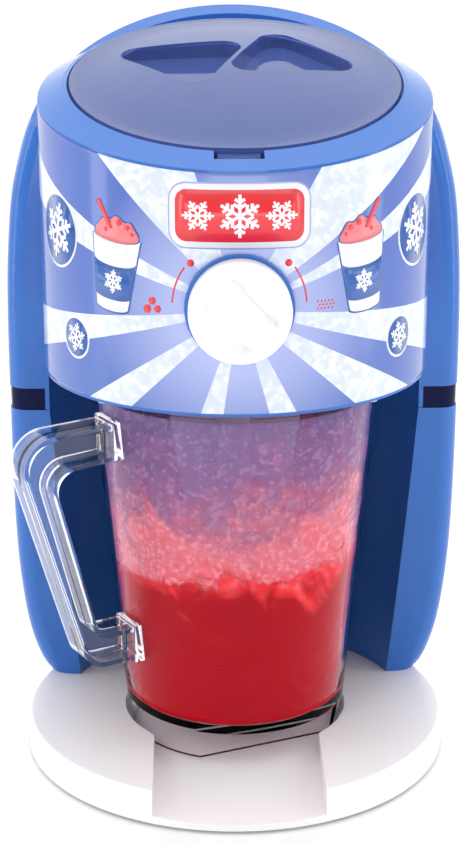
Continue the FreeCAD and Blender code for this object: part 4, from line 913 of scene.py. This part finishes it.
    def build_scale(self) -> None:
        """Two arcs with a dot each, large chips on the coarse side and small grains on the fine side."""
        for side in (-1, 1):
            arc = []
            for radius, order in ((self.scale_radius - 0.45, 1), (self.scale_radius + 0.45, -1)):
                angles = [3.0 + 33.0 * k / 14.0 for k in range(15)][::order]
                arc.extend((side * radius * math.cos(math.radians(a)), radius * math.sin(math.radians(a)))
                           for a in angles)
            self.ink("ink_red", arc, 1)
            dot = (side * self.dot_radius * math.cos(self.dot_angle),
                   self.dot_radius * math.sin(self.dot_angle))
            self.ink("ink_red", self.disc(1.95, dot, 24), 1)
        for u, v, size in ((-49.5, -2.6, 2.5), (-43.6, -2.2, 2.2), (-46.6, 2.0, 2.3)):
            self.ink("ink_red", self.disc(size, (u, v), 6), 1)
        for column in range(5):
            for row in range(3):
                place = (41.8 + column * 2.1 + (row % 2) * 1.0, -2.2 + row * 1.9)
                self.ink("ink_red", self.disc(0.58, place, 10), 1)

    def build_cup(self, side: int) -> None:
        """Plain cup of slush with a straw; side is -1 on the left and 1 on the right."""
        cu, cv = self.cup_at[0] * side, self.cup_at[1]
        h = self.cup_height
        top, low = 15.5, 10.5

        def place(points: Outline) -> Outline:
            """Move an outline to the cup's place, leaning a little."""
            lean = self.cup_lean * side
            c, s = math.cos(lean), math.sin(lean)
            return [(cu + u * side * c - v * s, cv + u * side * s + v * c) for u, v in points]

        def curve(half: float, level: float, sag: float) -> Outline:
            """Sagging edge from left to right."""
            return [(half * math.cos(math.radians(a)), level - sag * math.sin(math.radians(a)))
                    for a in range(180, -1, -15)]

        def mound(grow: float) -> Outline:
            """Lumpy heap over the cup's rim."""
            heap = [((top - 1.2 + grow) * math.cos(math.radians(a)),
                     h * 0.5 + (9.5 + grow + 1.1 * math.sin(math.radians(a * 9))) * math.sin(math.radians(a)))
                    for a in range(0, 181, 6)]
            return heap + curve(top - 1.2 + grow, h * 0.5, 3.4)[1:-1]

        def body(grow: float) -> Outline:
            """Tapered side of the cup."""
            upper = curve(top + grow, h * 0.5, 3.6)
            lower = curve(low + grow, -h * 0.5 - grow, 2.6)
            return upper + lower[::-1]

        straw = [(2.0, h * 0.5 + 4.0), (4.6, h * 0.5 + 3.2), (14.2, h * 0.5 + 16.2), (11.8, h * 0.5 + 17.8)]
        self.ink("ink_blue", place(mound(0.8)), 1)
        self.ink("ink_blue", place(body(0.8)), 1)
        self.ink("ink_pink", place(mound(0.0)), 2)
        self.ink("ink_blue", place([(u + (0.7 if u > 7 else -0.7), v) for u, v in straw]), 2)
        self.ink("ink_red", place(straw), 3)
        for u, v, size in ((-7.0, 24.6, 1.5), (-1.5, 26.4, 1.8), (-10.2, 21.6, 1.1), (6.8, 21.5, 1.3)):
            self.ink("ink_red", place(self.disc(size, (u, v), 12)), 3)
        self.ink("ink_white", place(body(0.0)), 3)
        band = [(u * 0.97, v) for u, v in curve(top - 1.4, h * 0.16, 3.4)]
        band += [(u, v) for u, v in curve(low + 1.2, -h * 0.34, 2.6)][::-1]
        self.ink("ink_blue", place(band), 4)
        lean = self.cup_lean * side
        middle = (cu + 5.5 * math.sin(lean), cv - 5.5 * math.cos(lean))
        self.flake("ink_white", 6.4, 1.1, middle, 5, lean)

    def build_flakes(self, side: int) -> None:
        """Round blue spots with a white snowflake beside each cup."""
        for (u, v), size in ((self.big_flake_at, 19.0), (self.small_flake_at, 10.5)):
            at = (u * side, v)
            self.ink("ink_white", self.disc(size + 1.4, at, 64), 1)
            self.ink("ink_blue", self.disc(size, at, 64), 2)
            self.flake("ink_white", size * 0.80, size * 0.115, at, 3, math.radians(12.0 * side))

    def build(self) -> None:
        """Build the film and its inks, and ride them on the head."""
        film = self.build_film()
        film.data.materials.append(finish("printed_film"))
        mount(film, "head", ["label_film"])
        self.build_badge()
        self.build_scale()
        for side in (-1, 1):
            self.build_cup(side)
            self.build_flakes(side)
        for colour, (points, faces) in self.parts.items():
            print_layer = make_object(f"label_{colour}", points, faces)
            print_layer.data.materials.append(finish(colour))
            skin = print_layer.modifiers.new("thickness", "SOLIDIFY")
            skin.thickness = 0.04 * MM
            skin.offset = -1.0
            mount(print_layer, "head")


@dataclass
class Knob:
    """Round knob with a slanting grip between two scooped hollows."""

    grip_angle: float = math.radians(-42.0)
    grip_half: float = 7.6          # mm, half the grip's width
    hollow_reach: float = 21.0      # mm, outer edge of the hollows
    hollow_depth: float = 5.2       # mm
    edge: float = 3.4               # mm, rounding of the front edge

    def depth_at(self, u: np.ndarray, v: np.ndarray) -> np.ndarray:
        """Depth of the front face under its highest plane, in mm.

        Args:
            u: Distance to the right of the knob's centre.
            v: Distance above the knob's centre.

        Returns:
            Depth at each place.
        """
        c, s = math.cos(self.grip_angle), math.sin(self.grip_angle)
        along = u * c + v * s
        across = -u * s + v * c
        reach = np.sqrt(np.maximum(self.hollow_reach ** 2 - along ** 2, 0.01))
        half = self.grip_half + 1.2 * np.tanh(along / 9.0) * np.sign(-across)
        inside = np.abs(across) - half
        share = np.clip(inside / np.maximum(reach - half, 0.5), 0.0, 1.0)
        wall = smoothstep(-0.4, 2.6, inside)
        bowl = np.cos(share * math.pi / 2.0) ** 1.15
        ends = smoothstep(0.0, 7.0, reach - half)
        dome = 1.0 * (np.hypot(u, v) / 26.8) ** 2
        bump = 0.8 * np.exp(-(((along + 13.5) / 1.2) ** 2 + ((across - 0.5) / 1.9) ** 2))
        return self.hollow_depth * wall * bowl * ends + dome - bump

    def build(self) -> None:
        """Build the knob and ride it on its own body."""
        low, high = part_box("knob")
        radius = (high.x - low.x) / 2.0
        centre_x, centre_z = (high.x + low.x) / 2.0, (high.z + low.z) / 2.0
        angles = np.linspace(0.0, 2.0 * math.pi, 193)[:-1]
        rows = [np.stack([centre_x + (radius - 0.6 * MM) * np.cos(angles), high.y + 0 * angles,
                          centre_z + (radius - 0.6 * MM) * np.sin(angles)], axis=1)]
        edge = self.edge * MM
        wall = [(radius - 0.3 * MM, high.y), (radius, high.y - 0.5 * MM), (radius, (high.y + low.y) / 2.0)]
        for step in range(9):
            a = math.radians(90.0 * step / 8.0)
            wall.append((radius - edge + edge * math.cos(a), low.y + edge * (1.0 - math.sin(a))))
        flat = [(r, low.y) for r in np.linspace(radius - edge, 0.25 * MM, 64)[1:]]
        for r, y in wall + flat:
            u, v = r * np.cos(angles) / MM, r * np.sin(angles) / MM
            share = 1.0 if r <= radius - edge else max(0.0, (r - radius) / -edge)
            y_row = y + self.depth_at(u, v) * MM * share
            rows.append(np.stack([centre_x + r * np.cos(angles), np.minimum(y_row, high.y),
                                  centre_z + r * np.sin(angles)], axis=1))
        points, faces = ring_grid(rows, True)
        piece = make_object("knob_grip", points, faces)
        piece.data.materials.append(finish("white_plastic"))
        mount(piece, "knob", ["knob"])


@dataclass
class JugFilling:
    """Red slush, the frost above it and the loose ice in it."""

    segments: int = 256
    wall: float = 2.6               # mm, the jug's wall
    clear: float = 0.2              # mm, between the jug's wall and what lies on it
    bottom_radius: float = 66.0     # mm, the jug's outside at its floor
    top_radius: float = 84.0        # mm, the jug's outside at its rim
    floor: float = 31.0             # mm, underside of the jug's floor
    rim: float = 230.0              # mm
    heap: float = 17.0              # mm, how far the slush is piled up against the wall
    flare: float = 0.09             # how fast the jug widens with height

    def inner(self, z: float) -> float:
        """Inner radius of the jug at a height, in mm."""
        share = (z - self.floor) / (self.rim - self.floor)
        return self.bottom_radius + (self.top_radius - self.bottom_radius) * share - self.wall

    def build_slush(self) -> None:
        """Body of slush with a heaped surface and the hollow that the paddle leaves."""
        low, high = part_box("slush_drink")
        bottom, level = low.z / MM, high.z / MM
        angles = np.linspace(0.0, 2.0 * math.pi, self.segments + 1)[:-1]
        profile = [(0.4, bottom, 0.0)]
        profile += [(r, bottom, 0.0) for r in np.linspace(8.0, self.inner(bottom) - 5.5, 8)]
        for step in range(1, 6):
            a = math.radians(90.0 * step / 5.0)
            radius = self.inner(bottom + 6.0) - self.clear
            profile.append((radius - 5.5 + 5.5 * math.sin(a), bottom + 6.0 * (1.0 - math.cos(a)), 0.0))
        profile += [(self.inner(z) - self.clear, z, 0.0) for z in np.linspace(bottom + 9.0, level - 12.0, 26)]
        profile += [(self.inner(z) - self.clear, z, (z - level + 12.0) / 12.0)
                    for z in np.linspace(level - 11.0, level, 12)]
        crater = 31.5
        profile += [(r, level, 1.0) for r in np.linspace(self.inner(level) - self.clear - 0.8, crater, 34)]
        profile += [(15.0 + (crater - 15.0) * t, 60.0 + (level - 60.0) * t, t ** 3)
                    for t in np.linspace(0.97, 0.0, 24)]
        profile += [(8.0, 59.0, 0.0), (0.4, 59.0, 0.0)]
        rows, loose = [], []
        for radius, z, share in profile:
            piled = self.heap * (radius / 75.0) ** 2 * (0.75 - 0.45 * np.cos(angles - 0.5)) * share
            radii = np.minimum(radius + self.flare * piled * (radius / 75.0) ** 4,
                               self.inner(z + piled) - self.clear)
            rows.append(circle_row(radii * MM, (z + piled) * MM, angles))
            loose.extend([share] * self.segments)
        points, faces = ring_grid(rows, True)
        seed = make_object("slush_seed", points, faces)
        set_attribute(seed, "dense", loose + [0.0, 0.0])
        values = {"Lump Scale": 70.0, "Lump Height": 0.016, "Grit Scale": 430.0, "Grit Height": 0.004,
                  "Finish": finish("crushed_ice")}
        mount(grown(seed, relief_tree(), values, "slush"), "jug", ["slush_drink"])

    def wall_sheet(self, name: str, z_low: float, z_high: float, inset: float,
                   density: Callable[[np.ndarray, float], np.ndarray]) -> bpy.types.Object:
        """Sheet that follows the inside of the jug's wall.

        Args:
            name: Name of the object.
            z_low: Lower edge, in mm.
            z_high: Upper edge, in mm.
            inset: Distance in from the wall, in mm.
            density: Share from 0 to 1 at each angle of a height.

        Returns:
            The new object, with its share in the 'dense' attribute.
        """
        angles = np.linspace(0.0, 2.0 * math.pi, 129)[:-1]
        rows, dense = [], []
        for z in np.linspace(z_low, z_high, 40):
            rows.append(circle_row((self.inner(z) - inset) * MM, z * MM, angles))
            dense.extend(np.clip(density(angles, z), 0.0, 1.0))
        points, faces = ring_grid(rows, False)
        piece = make_object(name, points, [f[::-1] for f in faces])
        set_attribute(piece, "dense", dense)
        return piece

    def build_frost(self) -> None:
        """Misty film on the wall above the slush."""
        film = self.wall_sheet("wall_frost", 122.0, 224.0, self.clear + 0.1, lambda a, z: 0.0 * a)
        skin = film.modifiers.new("thickness", "SOLIDIFY")
        skin.thickness = 0.15 * MM
        film.data.materials.append(finish("frost_mist"))
        mount(film, "jug")

    def build_chips(self) -> None:
        """Ice chips packed at the surface and drops flung up on the wall."""
        def packed(angles: np.ndarray, z: float) -> np.ndarray:
            """Thick along the slush line, more on the handle's side."""
            line = 143.0 - 10.0 * np.cos(angles - 0.5) + 5.0 * np.sin(3.0 * angles)
            return np.exp(-((z - line) / 13.0) ** 2)

        def flung(angles: np.ndarray, z: float) -> np.ndarray:
            """Thin all over, thinner upwards and away from the handle."""
            return (0.55 - 0.35 * np.cos(angles)) * (1.0 - (z - 135.0) / 130.0)

        for name, shape, density, size, flat, seed in (
                ("ice_line", packed, 3.6e5, 0.0013, 0.75, 3), ("ice_crumbs", packed, 7.0e5, 0.0006, 0.8, 11),
                ("melt_drops", flung, 1.6e5, 0.00055, 0.45, 7)):
            sheet = self.wall_sheet(name + "_seed", 120.0, 222.0, self.clear + 0.9, shape)
            values = {"Density": density, "Size": size, "Flatness": flat, "Seed": seed,
                      "Finish": finish("ice_chips")}
            mount(grown(sheet, scatter_tree(), values, name), "jug")

    def build(self) -> None:
        """Build everything in the jug."""
        self.build_slush()
        self.build_frost()
        self.build_chips()


@dataclass
class Studio:
    """Pale floor, soft light and the camera."""

    distance: float = 1.042         # m, from the jug's axis
    aside: float = -0.0012          # m, to the left of the middle
    height: float = 0.5241          # m
    turn: float = math.radians(1.2)
    pitch: float = math.radians(17.25)
    lens: float = 79.64
    front_glow: float = 0.38        # brightness of the surroundings behind the camera
    back_glow: float = 1.45         # brightness of the surroundings behind the machine
    lights: tuple[tuple[str, tuple, tuple, float, tuple], ...] = (
        ("front_left", (-0.95, -1.25, 0.95), (0.75, 0.75), 4.2, (1.0, 0.99, 0.98)),
        ("front_right", (1.05, -1.05, 0.75), (0.6, 0.9), 2.6, (0.98, 0.99, 1.0)),
        ("overhead", (0.0, 0.05, 1.35), (1.0, 1.0), 3.8, (1.0, 1.0, 1.0)),
        ("low_front", (0.0, -1.5, 0.25), (0.9, 0.35), 2.4, (1.0, 0.99, 0.99)),
        ("left_strip", (-1.1, -0.15, 0.5), (0.25, 1.2), 2.0, (1.0, 1.0, 1.0)),
        ("right_strip", (1.1, -0.15, 0.5), (0.25, 1.2), 2.0, (1.0, 1.0, 1.0)),
    )

    def build_floor(self) -> None:
        """Wide pale floor that is not part of the machine."""
        reach = 6.0
        floor = make_object("studio_floor", [(-reach, -reach, 0), (reach, -reach, 0), (reach, reach, 0),
                                             (-reach, reach, 0)], [(0, 1, 2, 3)], False)
        pale = Moulded("studio_floor_finish", (0.93, 0.93, 0.935), 0.5, 0.0, 200.0, 0.0, 0.0, 0.0, 0.004)
        floor.data.materials.append(pale.make())

    def build_light(self) -> None:
        """White surroundings and the soft boxes."""
        world = bpy.data.worlds.new("studio_world")
        world.use_nodes = True
        background = world.node_tree.nodes["Background"]
        background.inputs[0].default_value = (1.0, 1.0, 1.0, 1.0)
        g = Graph(world.node_tree)
        way = g.add("ShaderNodeSeparateXYZ", {0: g.add("ShaderNodeTexCoord").outputs["Generated"]}).outputs[1]
        g.feed(background.inputs[1], g.add("ShaderNodeMapRange", {0: way, 1: -0.7, 2: 0.3, 3: self.front_glow,
                                                                  4: self.back_glow}).outputs[0])
        bpy.context.scene.world = world
        aim = Vector((0.0, 0.0, 0.2))
        for name, place, size, power, colour in self.lights:
            lamp = bpy.data.lights.new(name, "AREA")
            lamp.shape = "RECTANGLE"
            lamp.size, lamp.size_y = size
            lamp.energy = power
            lamp.color = colour
            holder = bpy.data.objects.new(name, lamp)
            bpy.context.scene.collection.objects.link(holder)
            holder.location = place
            holder.rotation_euler = (aim - Vector(place)).to_track_quat("-Z", "Y").to_euler()

    def build_camera(self) -> None:
        """Camera in front of the machine, looking down a little."""
        data = bpy.data.cameras.new("studio_camera")
        data.lens = self.lens
        camera = bpy.data.objects.new("studio_camera", data)
        bpy.context.scene.collection.objects.link(camera)
        camera.location = (self.aside - self.distance * math.sin(self.turn),
                           -self.distance * math.cos(self.turn), self.height)
        camera.rotation_euler = (math.pi / 2.0 - self.pitch, 0.0, -self.turn)
        bpy.context.scene.camera = camera

    def build(self) -> None:
        """Build the studio."""
        self.build_camera()
        self.build_floor()
        self.build_light()
        bpy.context.scene.view_settings.view_transform = "Standard"
        bpy.context.scene.view_settings.look = "None"


def main() -> None:
    """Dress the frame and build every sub-assembly."""
    logging.basicConfig(level=logging.INFO, format="%(message)s")
    Studio().build()
    Frame().dress()
    for assembly in (Label(), Knob(), JugFilling()):
        LOG.info("building %s", type(assembly).__name__)
        assembly.build()


if __name__ == "__main__":
    main()
